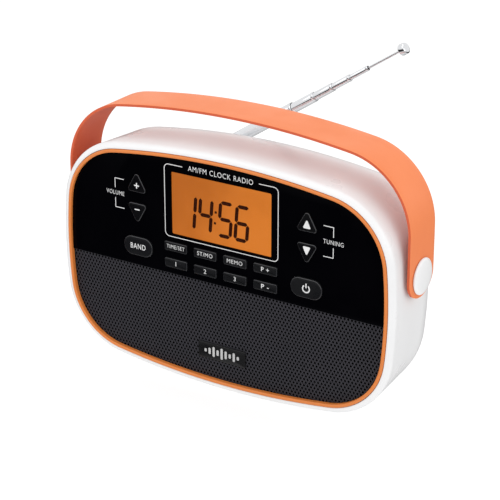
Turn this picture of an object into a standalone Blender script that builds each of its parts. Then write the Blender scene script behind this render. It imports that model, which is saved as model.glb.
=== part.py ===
"""Portable tabletop radio: rounded two-shell casing, swinging strap handle, telescopic antenna.

Metres, +Z up, +X to the right of someone facing the radio, +Y from its face to its back.
Shapes are first described in "face" coordinates: x and z from the centre of the face, and y
measured back from the front edge of the casing. Every object is then moved by shift, which puts
the world origin on the standing surface, in the middle of the radio's width and depth.
"""

from math import acos, atan2, cos, pi, radians, sin, sqrt

import bmesh
import bpy
from mathutils import Vector

mm = 0.001

# Overall shape of the face opening: four shallow arcs joined by round corners.
face_half_width = 110.0 * mm
face_half_height = 69.15 * mm
face_top_radius = 513.0 * mm
face_side_radius = 279.0 * mm
face_corner_radius = 39.4 * mm

# Casing shells.
casing_depth = 62.0 * mm
casing_bulge = 6.3 * mm
rim_land = 2.9 * mm
rim_depth = 3.4 * mm
seam_y = 6.5 * mm
side_draft = 0.064
back_round_depth = 24.0 * mm
back_round_inset = 14.0 * mm
wall = 2.4 * mm
lip_depth = 2.5 * mm
lip_wall = 1.5 * mm
gap = 0.3 * mm
slide_gap = 0.25 * mm
glass_gap = 0.15 * mm
baffle_front = 4.0 * mm
baffle_thickness = 2.0 * mm

# Trim ring round the face.
ring_width = 2.6 * mm
ring_crown = 0.8 * mm

# Display panel and grille.
panel_front = 1.2 * mm
panel_thickness = 2.0 * mm
grille_front = 2.4 * mm
grille_thickness = 1.2 * mm
divide_z = -6.6 * mm
badge_size = (33.6 * mm, 10.6 * mm)
badge_z = -51.7 * mm
badge_thickness = 0.6 * mm

# Liquid crystal display.
window_size = (69.6 * mm, 39.4 * mm)
window_z = 39.4 * mm
window_thickness = 1.6 * mm
display_margin = 2.8 * mm
display_thickness = 1.4 * mm
backlight_thickness = 3.2 * mm

# Buttons.
button_proud = 1.3 * mm
button_travel = 0.8 * mm
button_rest_gap = 0.1 * mm
button_bevel = 0.35 * mm
rocker_x = 59.2 * mm
rocker_width = 12.8 * mm
rocker_height = 11.4 * mm
rocker_centres_z = (47.2 * mm, 28.6 * mm)
rocker_corner = 1.8 * mm
pill_size = (21.0 * mm, 12.2 * mm)
pill_z = 6.3 * mm
key_size = (16.0 * mm, 5.7 * mm)
key_pitch_x = 21.0 * mm
key_rows_z = (11.7 * mm, 0.9 * mm)
key_corner = 0.9 * mm
mat_half_width = 73.0 * mm
mat_span_z = (-3.4 * mm, 57.0 * mm)
mat_thickness = 0.8 * mm

# Electronics.
board_front = 10.0 * mm
board_size = (152.0 * mm, 56.0 * mm)
board_z = 31.0 * mm
board_thickness = 1.6 * mm
ferrite_radius = 5.0 * mm
ferrite_length = 100.0 * mm
ferrite_place = (25.0 * mm, 60.0 * mm)
transformer_size = (36.0 * mm, 29.0 * mm, 30.0 * mm)
transformer_from_speaker = 11.0 * mm
transformer_from_inlet = 4.3 * mm
transformer_from_edge = 11.15 * mm

# Loudspeaker.
speaker_z = -37.5 * mm
speaker_radius = 33.0 * mm
speaker_flange = 1.4 * mm
speaker_rim = 4.0 * mm
basket_depth = 15.0 * mm
basket_wall = 1.2 * mm
magnet_radius = 19.0 * mm
magnet_depth = 9.0 * mm
cone_wall = 0.5 * mm
cap_radius = 9.0 * mm

# Battery bay for four AA cells standing side by side, with a door hinged along its lower edge.
bay_inner = (60.0 * mm, 57.0 * mm, 14.4 * mm)
bay_centre = (-33.0 * mm, -23.5 * mm)
bay_wall = 1.5 * mm
bay_flange = 3.0 * mm
door_thickness = 2.0 * mm
door_overlap = 0.5 * mm
contact_thickness = 0.6 * mm

# Mains inlet.
inlet_from_edges = (40.0 * mm, 29.15 * mm)
inlet_size = (22.0 * mm, 15.0 * mm)
inlet_length = 16.0 * mm
inlet_cavity = (15.0 * mm, 8.0 * mm)
inlet_cavity_depth = 12.0 * mm
inlet_pin_spacing = 8.6 * mm
inlet_pin_radius = 1.2 * mm
inlet_pin_length = 9.0 * mm

# Screws and their wells.
screw_from_side = 18.0 * mm
screw_from_top = 29.15 * mm
screw_from_bottom = 31.15 * mm
well_radius = 5.0 * mm
well_bore = 2.9 * mm
well_bottom = 13.0 * mm
well_floor = 3.0 * mm
screw_head_radius = 2.6 * mm
screw_head_height = 2.0 * mm
screw_shank_radius = 1.5 * mm
screw_length = 9.0 * mm
boss_radius = 4.0 * mm

# Feet.
foot_from_side = 55.0 * mm
foot_from_front = 18.5 * mm
foot_from_back = 15.5 * mm
foot_radius = 6.0 * mm
foot_height = 3.0 * mm
foot_proud = 1.2 * mm
foot_boss_radius = 8.0 * mm
underside_clearance = 1.6 * mm

# Strap handle and its pivots.
pivot_y = 27.5 * mm
pivot_z = 18.0 * mm
strap_headroom = 26.85 * mm
strap_top_radius = 540.0 * mm
strap_shoulder_radius = 46.0 * mm
strap_side_radius = 3000.0 * mm
strap_thickness = 1.6 * mm
strap_breadth = 30.0 * mm
bush_radius = 4.5 * mm
bush_flange_radius = 7.5 * mm
bush_flange_thickness = 2.0 * mm
bush_grip = 3.2 * mm
washer_radius = 9.5 * mm
washer_thickness = 1.33 * mm
cap_disc_radius = 11.0 * mm
cap_edge = 1.0 * mm
cap_height = 2.4 * mm

# Telescopic antenna. Distances run along the antenna from its tilt pin.
antenna_angle = radians(33.4)
antenna_from_side = 31.3 * mm
antenna_from_top = 39.5 * mm
antenna_from_back = 5.5 * mm
knuckle_radius = 3.0 * mm
knuckle_width = 4.4 * mm
knuckle_neck = 12.0 * mm
tube_start = 8.5 * mm
tube_wall = 0.3 * mm
tube_diameters = (7.6 * mm, 6.2 * mm, 5.2 * mm, 4.2 * mm, 3.2 * mm)
tube_ends = (106.0 * mm, 124.0 * mm, 138.4 * mm, 152.0 * mm, 166.0 * mm)
tube_lengths = (97.5 * mm, 92.0 * mm, 90.0 * mm, 88.0 * mm, 86.0 * mm)
rod_diameter = 1.5 * mm
rod_end = 195.0 * mm
rod_length = 93.0 * mm
tip_diameter = 7.0 * mm
tip_length = 4.5 * mm
turret_radius = 6.4 * mm
turret_thickness = 1.6 * mm
turret_shaft_radius = 4.0 * mm
turret_shaft_length = 6.0 * mm
ear_thickness = 1.8 * mm
ear_radius = 3.4 * mm
pin_radius = 1.0 * mm

# Worked out from the sizes above.
baffle_back = baffle_front + baffle_thickness
button_back = baffle_back + gap - button_travel - button_rest_gap
screw_places = (
    (face_half_width - screw_from_side, face_half_height - screw_from_top),
    (face_half_width - screw_from_side, screw_from_bottom - face_half_height),
)
foot_places = (face_half_width - foot_from_side, (foot_from_front, casing_depth - foot_from_back))
inlet_place = (face_half_width - inlet_from_edges[0], inlet_from_edges[1] - face_half_height)
inlet_back = casing_depth + gap
transformer_low = (
    speaker_radius + transformer_from_speaker,
    inlet_back - inlet_length - transformer_from_inlet - transformer_size[1],
    transformer_from_edge - face_half_height,
)
strap_rise = face_half_height + strap_headroom - pivot_z
antenna_pivot = (
    antenna_from_side - face_half_width,
    casing_depth + antenna_from_back,
    face_half_height - antenna_from_top,
)
underside_z = -(face_half_height + casing_bulge) - underside_clearance
rearmost_y = antenna_pivot[1] + tube_diameters[0] / 2
shift = Vector((0.0, -(rearmost_y - ring_crown) / 2, -underside_z))
antenna_along = Vector((cos(antenna_angle), 0.0, sin(antenna_angle)))
antenna_across = Vector((-sin(antenna_angle), 0.0, cos(antenna_angle)))
backwards = Vector((0.0, 1.0, 0.0))


def clear_scene():
    for obj in list(bpy.data.objects):
        bpy.data.objects.remove(obj, do_unlink=True)


def make_material(name, colour, roughness, metallic=0.0, alpha=1.0, glow=0.0):
    material = bpy.data.materials.new(name)
    material.use_nodes = True
    shader = material.node_tree.nodes["Principled BSDF"]
    shader.inputs["Base Color"].default_value = (*colour, 1.0)
    shader.inputs["Roughness"].default_value = roughness
    shader.inputs["Metallic"].default_value = metallic
    shader.inputs["Alpha"].default_value = alpha
    if glow:
        shader.inputs["Emission Color"].default_value = (*colour, 1.0)
        shader.inputs["Emission Strength"].default_value = glow
    return material


# ---- Outlines: lists of (x, z) points, counter-clockwise seen from the front ----


def arc_outline(half_width, half_height, top_radius, side_radius, corner_radius, offset=0.0):
    """Closed outline of four shallow arcs and four tangent corners, grown outwards by offset."""
    top_centre = half_height - top_radius
    side_centre = half_width - side_radius
    to_top = top_radius - corner_radius
    to_side = side_radius - corner_radius
    # The corner's centre lies where circles about the two shallow arcs' centres cross.
    apart = sqrt(side_centre**2 + top_centre**2)
    along = (to_top**2 - to_side**2 + apart**2) / (2 * apart)
    aside = sqrt(to_top**2 - along**2)
    corner_x = (along * side_centre - aside * top_centre) / apart
    corner_z = top_centre - (along * top_centre + aside * side_centre) / apart
    side_angle = atan2(corner_z, corner_x - side_centre)
    top_angle = atan2(corner_z - top_centre, corner_x)
    quadrant = []
    for step in range(2):
        angle = side_angle * step / 2
        reach = side_radius + offset
        quadrant.append((side_centre + reach * cos(angle), reach * sin(angle)))
    for step in range(7):
        angle = side_angle + (top_angle - side_angle) * step / 7
        reach = corner_radius + offset
        quadrant.append((corner_x + reach * cos(angle), corner_z + reach * sin(angle)))
    for step in range(5):
        angle = top_angle + (pi / 2 - top_angle) * step / 5
        reach = top_radius + offset
        quadrant.append((reach * cos(angle), top_centre + reach * sin(angle)))
    top_point = (0.0, half_height + offset)
    upper = quadrant + [top_point] + [(-x, z) for x, z in reversed(quadrant)]
    lower = [(x, -z) for x, z in reversed(upper[1:-1])]
    return upper + lower


def face_outline(offset=0.0):
    return arc_outline(
        face_half_width, face_half_height, face_top_radius, face_side_radius, face_corner_radius, offset
    )


def casing_offset(y):
    """How far the casing's side stands outside the face opening, at a depth y behind the rim."""
    if y < rim_depth:
        rise = sqrt(max(0.0, 1.0 - (1.0 - y / rim_depth) ** 2))
        return rim_land + (casing_bulge - rim_land) * rise
    round_start = casing_depth - back_round_depth
    drafted = casing_bulge - side_draft * (min(y, round_start) - rim_depth)
    if y <= round_start:
        return drafted
    turn = min(1.0, (y - round_start) / back_round_depth)
    return drafted - back_round_inset * (1.0 - sqrt(1.0 - turn**2))


# The washer fills the room between the casing's side and the strap.
washer_inside = face_half_width + casing_offset(pivot_y - washer_radius) + gap
strap_half_width = washer_inside + washer_thickness + gap + strap_thickness


def clip_outline(points, level, keep_above):
    """The part of a convex outline above or below a horizontal line."""
    kept = []
    for (x0, z0), (x1, z1) in zip(points, points[1:] + points[:1]):
        inside = (z0 > level) == keep_above
        if inside:
            kept.append((x0, z0))
        if inside != ((z1 > level) == keep_above):
            t = (level - z0) / (z1 - z0)
            kept.append((x0 + (x1 - x0) * t, level))
    return kept


def rounded(points, radius, steps=4):
    """A polygon with each corner replaced by an arc."""
    outline = []
    count = len(points)
    for i in range(count):
        here = Vector(points[i])
        before = (Vector(points[i - 1]) - here).normalized()
        after = (Vector(points[(i + 1) % count]) - here).normalized()
        half = acos(max(-1.0, min(1.0, before.dot(after)))) / 2
        centre = here + (before + after).normalized() * (radius / sin(half))
        start = here + before * (radius / (sin(half) / cos(half)))
        end = here + after * (radius / (sin(half) / cos(half)))
        first = atan2(start.y - centre.y, start.x - centre.x)
        turn = atan2(end.y - centre.y, end.x - centre.x) - first
        turn = (turn + pi) % (2 * pi) - pi
        for step in range(steps + 1):
            angle = first + turn * step / steps
            outline.append((centre.x + radius * cos(angle), centre.y + radius * sin(angle)))
    return outline


def rounded_rectangle(centre, size, radius, steps=4):
    x, z = size[0] / 2, size[1] / 2
    corners = [(x, z), (-x, z), (-x, -z), (x, -z)]
    return [(centre[0] + a, centre[1] + b) for a, b in rounded(corners, radius, steps)]


def rounded_triangle(centre, width, height, radius, pointing_up):
    """Rounded triangle that just fills a box of this width and height, so its corners are cut back."""
    side = 1.0 if pointing_up else -1.0
    slope = atan2(height, width / 2)
    spread = radius * (1.0 / sin(slope / 2) * cos(slope / 2) - 1.0)
    top = radius * (1.0 / cos(slope) - 1.0)
    corners = [
        (0.0, height / 2 + top),
        (-width / 2 - spread, -height / 2),
        (width / 2 + spread, -height / 2),
    ]
    return [(centre[0] + x, centre[1] + side * z) for x, z in rounded(corners, radius)]


def grown(points, distance):
    """A convex outline moved outwards by distance."""
    area = sum(x0 * z1 - x1 * z0 for (x0, z0), (x1, z1) in zip(points, points[1:] + points[:1]))
    turn = 1.0 if area > 0.0 else -1.0
    result = []
    for i, point in enumerate(points):
        here = Vector(point)
        before = (here - Vector(points[i - 1])).normalized()
        after = (Vector(points[(i + 1) % len(points)]) - here).normalized()
        normal = Vector((before.y + after.y, -(before.x + after.x))).normalized() * turn
        scale = distance / max(0.5, normal.dot(Vector((before.y, -before.x)) * turn))
        result.append(tuple(here + normal * scale))
    return result


# ---- Solids ----


def mesh_object(name, points, faces, material=None, pivot=(0.0, 0.0, 0.0), smooth_angle=35.0):
    """A new object from face coordinates, with its origin on pivot."""
    pivot = Vector(pivot)
    mesh = bpy.data.meshes.new(name)
    mesh.from_pydata([Vector(p) - pivot for p in points], [], faces)
    work = bmesh.new()
    work.from_mesh(mesh)
    bmesh.ops.recalc_face_normals(work, faces=work.faces)
    work.to_mesh(mesh)
    work.free()
    mesh.shade_smooth()
    mesh.set_sharp_from_angle(angle=radians(smooth_angle))
    obj = bpy.data.objects.new(name, mesh)
    obj.location = pivot + shift
    bpy.context.scene.collection.objects.link(obj)
    if material:
        mesh.materials.append(material)
    return obj


def loft_faces(rows, count, start=0):
    """Quads between rows of count points, with a cap at each end."""
    faces = []
    for row in range(rows - 1):
        low = start + row * count
        for i in range(count):
            j = (i + 1) % count
            faces.append((low + i, low + j, low + count + j, low + count + i))
    faces.append(tuple(range(start, start + count)))
    faces.append(tuple(reversed(range(start + (rows - 1) * count, start + rows * count))))
    return faces


def loft(name, sections, material=None, pivot=(0.0, 0.0, 0.0)):
    """Solid through sections, each an outline of (x, z) points at its own y."""
    points = [(x, y, z) for y, outline in sections for x, z in outline]
    return mesh_object(name, points, loft_faces(len(sections), len(sections[0][1])), material, pivot)


def prism(name, outline, front, back, material=None, pivot=(0.0, 0.0, 0.0)):
    return loft(name, [(front, outline), (back, outline)], material, pivot)


def prisms(name, outlines, front, back):
    """Several separate prisms in one object, for use as a cutter."""
    points, faces = [], []
    for outline in outlines:
        faces += loft_faces(2, len(outline), len(points))
        points += [(x, y, z) for y in (front, back) for x, z in outline]
    return mesh_object(name, points, faces)


def frame_of(axis):
    axis = Vector(axis).normalized()
    side = axis.orthogonal().normalized()
    return axis, side, axis.cross(side)


def turned(name, profile, centre, axis, material=None, pivot=None, segments=28, hollow=False):
    """Solid of revolution: profile holds (radius, height along axis) pairs.

    A hollow one has a closed profile that keeps clear of the axis. Any other is capped at its ends.
    """
    centre = Vector(centre)
    axis, side, up = frame_of(axis)
    points = []
    for radius, height in profile:
        for i in range(segments):
            angle = 2 * pi * i / segments
            points.append(centre + axis * height + (side * cos(angle) + up * sin(angle)) * radius)
    faces = loft_faces(len(profile), segments)
    if hollow:
        faces = faces[:-2]
        last = (len(profile) - 1) * segments
        for i in range(segments):
            j = (i + 1) % segments
            faces.append((last + i, last + j, j, i))
    return mesh_object(name, points, faces, material, centre if pivot is None else pivot)


def box(name, low, high, material=None, pivot=(0.0, 0.0, 0.0)):
    outline = [(low[0], low[2]), (high[0], low[2]), (high[0], high[2]), (low[0], high[2])]
    return prism(name, outline, low[1], high[1], material, pivot)


def combine(obj, tool, operation="DIFFERENCE"):
    """Cuts tool from obj, or joins it on, and leaves tool as a hidden helper."""
    tool.hide_render = True
    tool.display_type = "WIRE"
    modifier = obj.modifiers.new(tool.name, "BOOLEAN")
    modifier.operation = operation
    modifier.object = tool
    modifier.solver = "EXACT"
    return obj


# ---- Casing ----


def button_outlines():
    """Name and outline of each button's cap."""
    found = {}
    for side, name in ((-1.0, "volume"), (1.0, "tuning")):
        for centre_z, direction in zip(rocker_centres_z, ("up", "down")):
            place = (side * rocker_x, centre_z)
            found[f"button_{name}_{direction}"] = rounded_triangle(
                place, rocker_width, rocker_height, rocker_corner, direction == "up"
            )
    for side, name in ((-1.0, "band"), (1.0, "power")):
        place = (side * rocker_x, pill_z)
        found[f"button_{name}"] = rounded_rectangle(place, pill_size, pill_size[1] / 2 - 0.2 * mm, 6)
    key_names = (("time", "store", "memo", "preset_up"), ("preset_1", "preset_2", "preset_3", "preset_down"))
    for row, names in zip(key_rows_z, key_names):
        for column, name in enumerate(names):
            place = ((column - 1.5) * key_pitch_x, row)
            found[f"button_{name}"] = rounded_rectangle(place, key_size, key_corner, 3)
    return found


def mirrored_places(places):
    return [(side * x, z) for x, z in places for side in (-1.0, 1.0)]


def make_front_shell(material):
    rim_rows = [rim_depth * (1.0 - cos(step * pi / 8)) for step in range(4)]
    sections = [(y, face_outline(casing_offset(y))) for y in [*rim_rows, rim_depth, seam_y]]
    lip_out = casing_offset(seam_y) - lip_wall
    sections.append((seam_y, face_outline(lip_out)))
    sections.append((seam_y + lip_depth, face_outline(lip_out)))
    shell = loft("front_shell", sections, material)
    pocket = prism("cut_face_pocket", face_outline(ring_width + gap), -wall, baffle_front)
    combine(shell, pocket)
    hollow = prism("cut_front_hollow", face_outline(lip_out - lip_wall), baffle_back, seam_y + 2 * lip_depth)
    combine(shell, hollow)
    holes = [grown(outline, slide_gap) for outline in button_outlines().values()]
    holes.append(display_outline(gap))
    holes.append(circle((0.0, speaker_z), speaker_radius - speaker_rim, 28))
    combine(shell, prisms("cut_baffle_holes", holes, baffle_front - wall, baffle_back + wall))
    bosses = [circle(place, boss_radius, 14) for place in mirrored_places(screw_places)]
    boss_front = baffle_back - baffle_thickness / 2
    combine(shell, prisms("join_bosses", bosses, boss_front, well_bottom - gap), "UNION")
    bores = [circle(place, screw_shank_radius + gap, 12) for place in mirrored_places(screw_places)]
    combine(shell, prisms("cut_boss_bores", bores, baffle_back, well_bottom + wall))
    return shell


def circle(centre, radius, segments=32):
    turns = [2 * pi * i / segments for i in range(segments)]
    return [(centre[0] + radius * cos(a), centre[1] + radius * sin(a)) for a in turns]


def back_rows(start, depth, steps):
    """Depths of the sections from start to the back, closer together where the back turns in."""
    straight = casing_depth - back_round_depth
    turn = [straight + back_round_depth * sin(pi / 2 * step / steps) for step in range(steps + 1)]
    return [start] + [y - casing_depth + depth for y in turn]


def make_rear_shell(material):
    seam = seam_y + gap
    sections = [(y, face_outline(casing_offset(y))) for y in back_rows(seam, casing_depth, 6)]
    shell = loft("rear_shell", sections, material)
    feet = [circle((x, y), foot_boss_radius, 24) for x, y in foot_centres()]
    combine(shell, uprights("join_foot_bosses", feet, underside_z + foot_proud, foot_boss_top()), "UNION")
    inner_back = casing_depth - wall
    lip_room = casing_offset(seam_y) - lip_wall + gap
    lip_end = seam_y + lip_depth + gap
    inner = [(seam - wall, face_outline(lip_room)), (lip_end, face_outline(lip_room))]
    for y in back_rows(lip_end, inner_back, 3):
        inner.append((y, face_outline(casing_offset(y + wall * 0.5) - wall)))
    combine(shell, loft("cut_casing_hollow", inner))
    wells = [circle(place, well_radius, 16) for place in mirrored_places(screw_places)]
    combine(shell, prisms("join_screw_wells", wells, well_bottom, inner_back + wall / 2), "UNION")
    bores = [circle(place, well_bore, 16) for place in mirrored_places(screw_places)]
    combine(shell, prisms("cut_well_bores", bores, well_bottom + well_floor, casing_depth + wall))
    shanks = [circle(place, screw_shank_radius + gap, 12) for place in mirrored_places(screw_places)]
    combine(shell, prisms("cut_well_floors", shanks, well_bottom - wall, well_bottom + well_floor + wall))
    back_holes = [
        door_outline(gap),
        rounded_rectangle(inlet_place, (inlet_size[0] + 2 * gap, inlet_size[1] + 2 * gap), 1.0 * mm),
        circle((antenna_pivot[0], antenna_pivot[2]), turret_shaft_radius + gap, 24),
    ]
    combine(shell, prisms("cut_back_holes", back_holes, inner_back - wall, casing_depth + wall))
    sockets = [circle((x, y), foot_radius + gap, 24) for x, y in foot_centres()]
    socket_top = underside_z + foot_height + gap
    combine(shell, uprights("cut_foot_sockets", sockets, underside_z - wall, socket_top))
    pivot_bore = turned(
        "cut_pivot_bores",
        [(bush_radius + gap, -strap_half_width), (bush_radius + gap, strap_half_width)],
        (0.0, pivot_y, pivot_z),
        (1.0, 0.0, 0.0),
    )
    combine(shell, pivot_bore)
    return shell


def foot_centres():
    return [(side * foot_places[0], y) for side in (-1.0, 1.0) for y in foot_places[1]]


def foot_boss_top():
    """Just inside the casing's lower wall, above the standing surface."""
    lowest = face_half_height + casing_offset(foot_places[1][1]) - wall
    sag = face_top_radius - sqrt(face_top_radius**2 - (foot_places[0] - foot_boss_radius) ** 2)
    return -(lowest - sag) + wall / 2


def uprights(name, outlines, low, high):
    """Separate vertical prisms from outlines of (x, y) points, in one object."""
    points, faces = [], []
    for outline in outlines:
        faces += loft_faces(2, len(outline), len(points))
        points += [(x, y, z) for z in (low, high) for x, y in outline]
    return mesh_object(name, points, faces)


def make_feet(material):
    for index, (x, y) in enumerate(foot_centres(), 1):
        profile = [
            (foot_radius - 0.5 * mm, 0.0),
            (foot_radius, 0.5 * mm),
            (foot_radius, foot_height),
        ]
        turned(f"foot_{index}", profile, (x, y, underside_z), (0.0, 0.0, 1.0), material, segments=24)


def make_case_screws(material):
    head = well_bottom + well_floor + gap
    for index, (x, z) in enumerate(mirrored_places(screw_places), 1):
        profile = [
            (screw_shank_radius * 0.6, head - screw_length),
            (screw_shank_radius, head - screw_length + 1.0 * mm),
            (screw_shank_radius, head),
            (screw_head_radius, head),
            (screw_head_radius, head + screw_head_height * 0.6),
            (screw_head_radius * 0.7, head + screw_head_height),
        ]
        turned(f"case_screw_{index}", profile, (x, 0.0, z), backwards, material, segments=16)


# ---- Face ----


def make_trim_ring(material):
    profile = [
        (glass_gap, baffle_front - gap),
        (glass_gap, 0.2 * mm),
        (0.25 * ring_width, -0.75 * ring_crown),
        (0.5 * ring_width, -ring_crown),
        (0.8 * ring_width, -0.7 * ring_crown),
        (ring_width, 0.1 * mm),
        (ring_width, baffle_front - gap),
    ]
    rows = [[(x, y, z) for x, z in face_outline(offset)] for offset, y in profile]
    count = len(rows[0])
    faces = loft_faces(len(rows), count)[:-2]
    last = (len(rows) - 1) * count
    faces += [(last + i, last + (i + 1) % count, (i + 1) % count, i) for i in range(count)]
    return mesh_object("trim_ring", [point for row in rows for point in row], faces, material)


def window_outline(margin=0.0):
    size = (window_size[0] + 2 * margin, window_size[1] + 2 * margin)
    return rounded_rectangle((0.0, window_z), size, 1.0 * mm + max(0.0, margin))


def display_outline(margin=0.0):
    size = [side + 2 * (display_margin + margin) for side in window_size]
    return rounded_rectangle((0.0, window_z), size, 1.0 * mm)


def make_face(materials):
    above = clip_outline(face_outline(-glass_gap), divide_z + glass_gap, True)
    below = clip_outline(face_outline(-glass_gap), divide_z - glass_gap, False)
    panel = prism("display_panel", above, panel_front, panel_front + panel_thickness, materials["panel"])
    holes = [grown(outline, slide_gap) for outline in button_outlines().values()]
    holes.append(window_outline(glass_gap))
    combine(panel, prisms("cut_panel_holes", holes, panel_front - wall, panel_front + panel_thickness + wall))
    prism("lcd_window", window_outline(), panel_front, panel_front + window_thickness, materials["window"])
    prism("speaker_grille", below, grille_front, grille_front + grille_thickness, materials["grille"])
    badge_back = grille_front - gap
    badge_shape = rounded_rectangle((0.0, badge_z), badge_size, 0.8 * mm)
    prism("badge", badge_shape, badge_back - badge_thickness, badge_back, materials["badge"])


def make_display(materials):
    front = panel_front + panel_thickness + gap
    back = front + display_thickness
    prism("lcd_glass", display_outline(), front, back, materials["lcd"])
    lit = back + gap
    prism("lcd_backlight", display_outline(), lit, lit + backlight_thickness, materials["backlight"])


def make_buttons(material):
    front = panel_front - button_proud
    for name, outline in button_outlines().items():
        centre = (
            sum(x for x, z in outline) / len(outline),
            button_back,
            sum(z for x, z in outline) / len(outline),
        )
        sections = [
            (front, grown(outline, -button_bevel)),
            (front + button_bevel, outline),
            (button_back, outline),
        ]
        loft(name, sections, material, centre)


def make_keypad_mat(material):
    front = baffle_back + gap
    low, high = mat_span_z
    outline = [(-mat_half_width, low), (mat_half_width, low), (mat_half_width, high), (-mat_half_width, high)]
    mat = prism("keypad_mat", rounded(outline, 3.0 * mm), front, front + mat_thickness, material)
    opening = display_outline(gap)
    return combine(mat, prism("cut_mat_opening", grown(opening, 1.0 * mm), front - wall, front + wall))


# ---- Inside ----


def make_electronics(materials):
    half_width, half_height = board_size[0] / 2, board_size[1] / 2
    box(
        "main_board",
        (-half_width, board_front, board_z - half_height),
        (half_width, board_front + board_thickness, board_z + half_height),
        materials["board"],
    )
    turned(
        "ferrite_rod",
        [(ferrite_radius, -ferrite_length / 2), (ferrite_radius, ferrite_length / 2)],
        (0.0, ferrite_place[0], ferrite_place[1]),
        (1.0, 0.0, 0.0),
        materials["ferrite"],
        segments=20,
    )
    high = [a + b for a, b in zip(transformer_low, transformer_size)]
    box("mains_transformer", transformer_low, high, materials["steel"])


def make_speaker(materials):
    centre = (0.0, 0.0, speaker_z)
    flange_front = baffle_back + gap
    flange_back = flange_front + speaker_flange
    basket_back = flange_front + basket_depth
    mouth = speaker_radius - speaker_rim
    basket = [
        (mouth, flange_front),
        (speaker_radius, flange_front),
        (speaker_radius, flange_back),
        (mouth + basket_wall, flange_back),
        (mouth + basket_wall, flange_back + basket_wall),
        (magnet_radius, basket_back - 2.0 * mm),
        (magnet_radius, basket_back),
        (cap_radius + 1.0 * mm, basket_back),
        (cap_radius + 1.0 * mm, basket_back - 1.2 * mm),
        (magnet_radius - basket_wall, basket_back - 3.2 * mm),
        (mouth, flange_back + basket_wall),
    ]
    turned("speaker_basket", basket, centre, backwards, materials["steel"], hollow=True)
    magnet = [(magnet_radius, basket_back + gap), (magnet_radius, basket_back + gap + magnet_depth)]
    turned("speaker_magnet", magnet, centre, backwards, materials["ferrite"])
    cone_front = flange_front + 0.6 * mm
    cone_back = basket_back - 4.6 * mm
    cone = [
        (mouth - gap, cone_front),
        (mouth - gap, cone_front + cone_wall),
        (cap_radius + cone_wall, cone_back + cone_wall),
        (cap_radius, cone_back),
    ]
    turned("speaker_cone", cone, centre, backwards, materials["paper"], hollow=True)
    dome = [
        (cap_radius - gap, cone_back),
        (cap_radius * 0.8, cone_back - 1.6 * mm),
        (cap_radius * 0.45, cone_back - 2.8 * mm),
        (cap_radius * 0.1, cone_back - 3.2 * mm),
    ]
    turned("speaker_dust_cap", dome, centre, backwards, materials["paper"])


def bay_outline(margin):
    size = (bay_inner[0] + 2 * margin, bay_inner[1] + 2 * margin)
    return rounded_rectangle(bay_centre, size, 1.0 * mm + max(0.0, margin) * 0.5, 3)


def door_half_height():
    return bay_inner[1] / 2 + bay_wall + door_overlap


def door_outline(margin):
    """The door's edge, or the casing's opening for it."""
    half_width = bay_inner[0] / 2 + bay_wall + door_overlap + margin
    half_height = door_half_height() + margin
    x, z = bay_centre
    return [
        (x + half_width, z + half_height),
        (x - half_width, z + half_height),
        (x - half_width, z - half_height),
        (x + half_width, z - half_height),
    ]


def make_battery_bay(materials):
    inner_back = casing_depth - wall
    rim_back = inner_back - gap
    mouth = casing_depth - door_thickness - gap
    floor_front = mouth - bay_inner[2] - bay_wall
    tray = prism("battery_tray", bay_outline(bay_wall), floor_front, mouth, materials["casing"])
    flange = prism("join_bay_flange", bay_outline(bay_wall + bay_flange), rim_back - bay_wall, rim_back)
    combine(tray, flange, "UNION")
    combine(tray, prism("cut_bay", bay_outline(0.0), floor_front + bay_wall, casing_depth))
    x, z = bay_centre
    half_width = bay_inner[0] / 2 - bay_wall
    for side, name in ((1.0, "upper"), (-1.0, "lower")):
        outer = z + side * (bay_inner[1] / 2 - gap)
        inner = outer - side * contact_thickness
        box(
            f"battery_contact_{name}",
            (x - half_width, floor_front + bay_wall + 1.0 * mm, min(outer, inner)),
            (x + half_width, mouth - 2.0 * mm, max(outer, inner)),
            materials["steel"],
        )
    make_battery_door(materials["casing"])


def make_battery_door(material):
    """Flat door whose lower edge is a half round, so that it turns in place on its hinge line."""
    x, z = bay_centre
    half_width = bay_inner[0] / 2 + bay_wall + door_overlap
    radius = door_thickness / 2
    hinge = (x, casing_depth - radius, z - door_half_height() + radius)
    profile = [(-radius, door_half_height() * 2 - radius), (radius, door_half_height() * 2 - radius)]
    for step in range(7):
        angle = -pi * step / 6
        profile.append((radius * cos(angle), radius * sin(angle)))
    points = []
    for side in (-1.0, 1.0):
        points += [(x + side * half_width, hinge[1] + y, hinge[2] + up) for y, up in profile]
    return mesh_object("battery_door", points, loft_faces(2, len(profile)), material, hinge)


def make_mains_inlet(material):
    x, z = inlet_place
    back = inlet_back
    housing = rounded_rectangle(inlet_place, inlet_size, 1.0 * mm, 2)
    inlet = prism("mains_inlet", housing, back - inlet_length, back, material)
    cavity = rounded_rectangle(inlet_place, inlet_cavity, inlet_cavity[1] / 2 - 0.1 * mm, 5)
    combine(inlet, prism("cut_inlet_cavity", cavity, back - inlet_cavity_depth, back + wall))
    pins = [circle((x + side * inlet_pin_spacing / 2, z), inlet_pin_radius, 12) for side in (-1.0, 1.0)]
    pin_front = back - inlet_cavity_depth - 1.0 * mm
    return combine(inlet, prisms("join_inlet_pins", pins, pin_front, pin_front + inlet_pin_length), "UNION")


# ---- Handle ----


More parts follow.
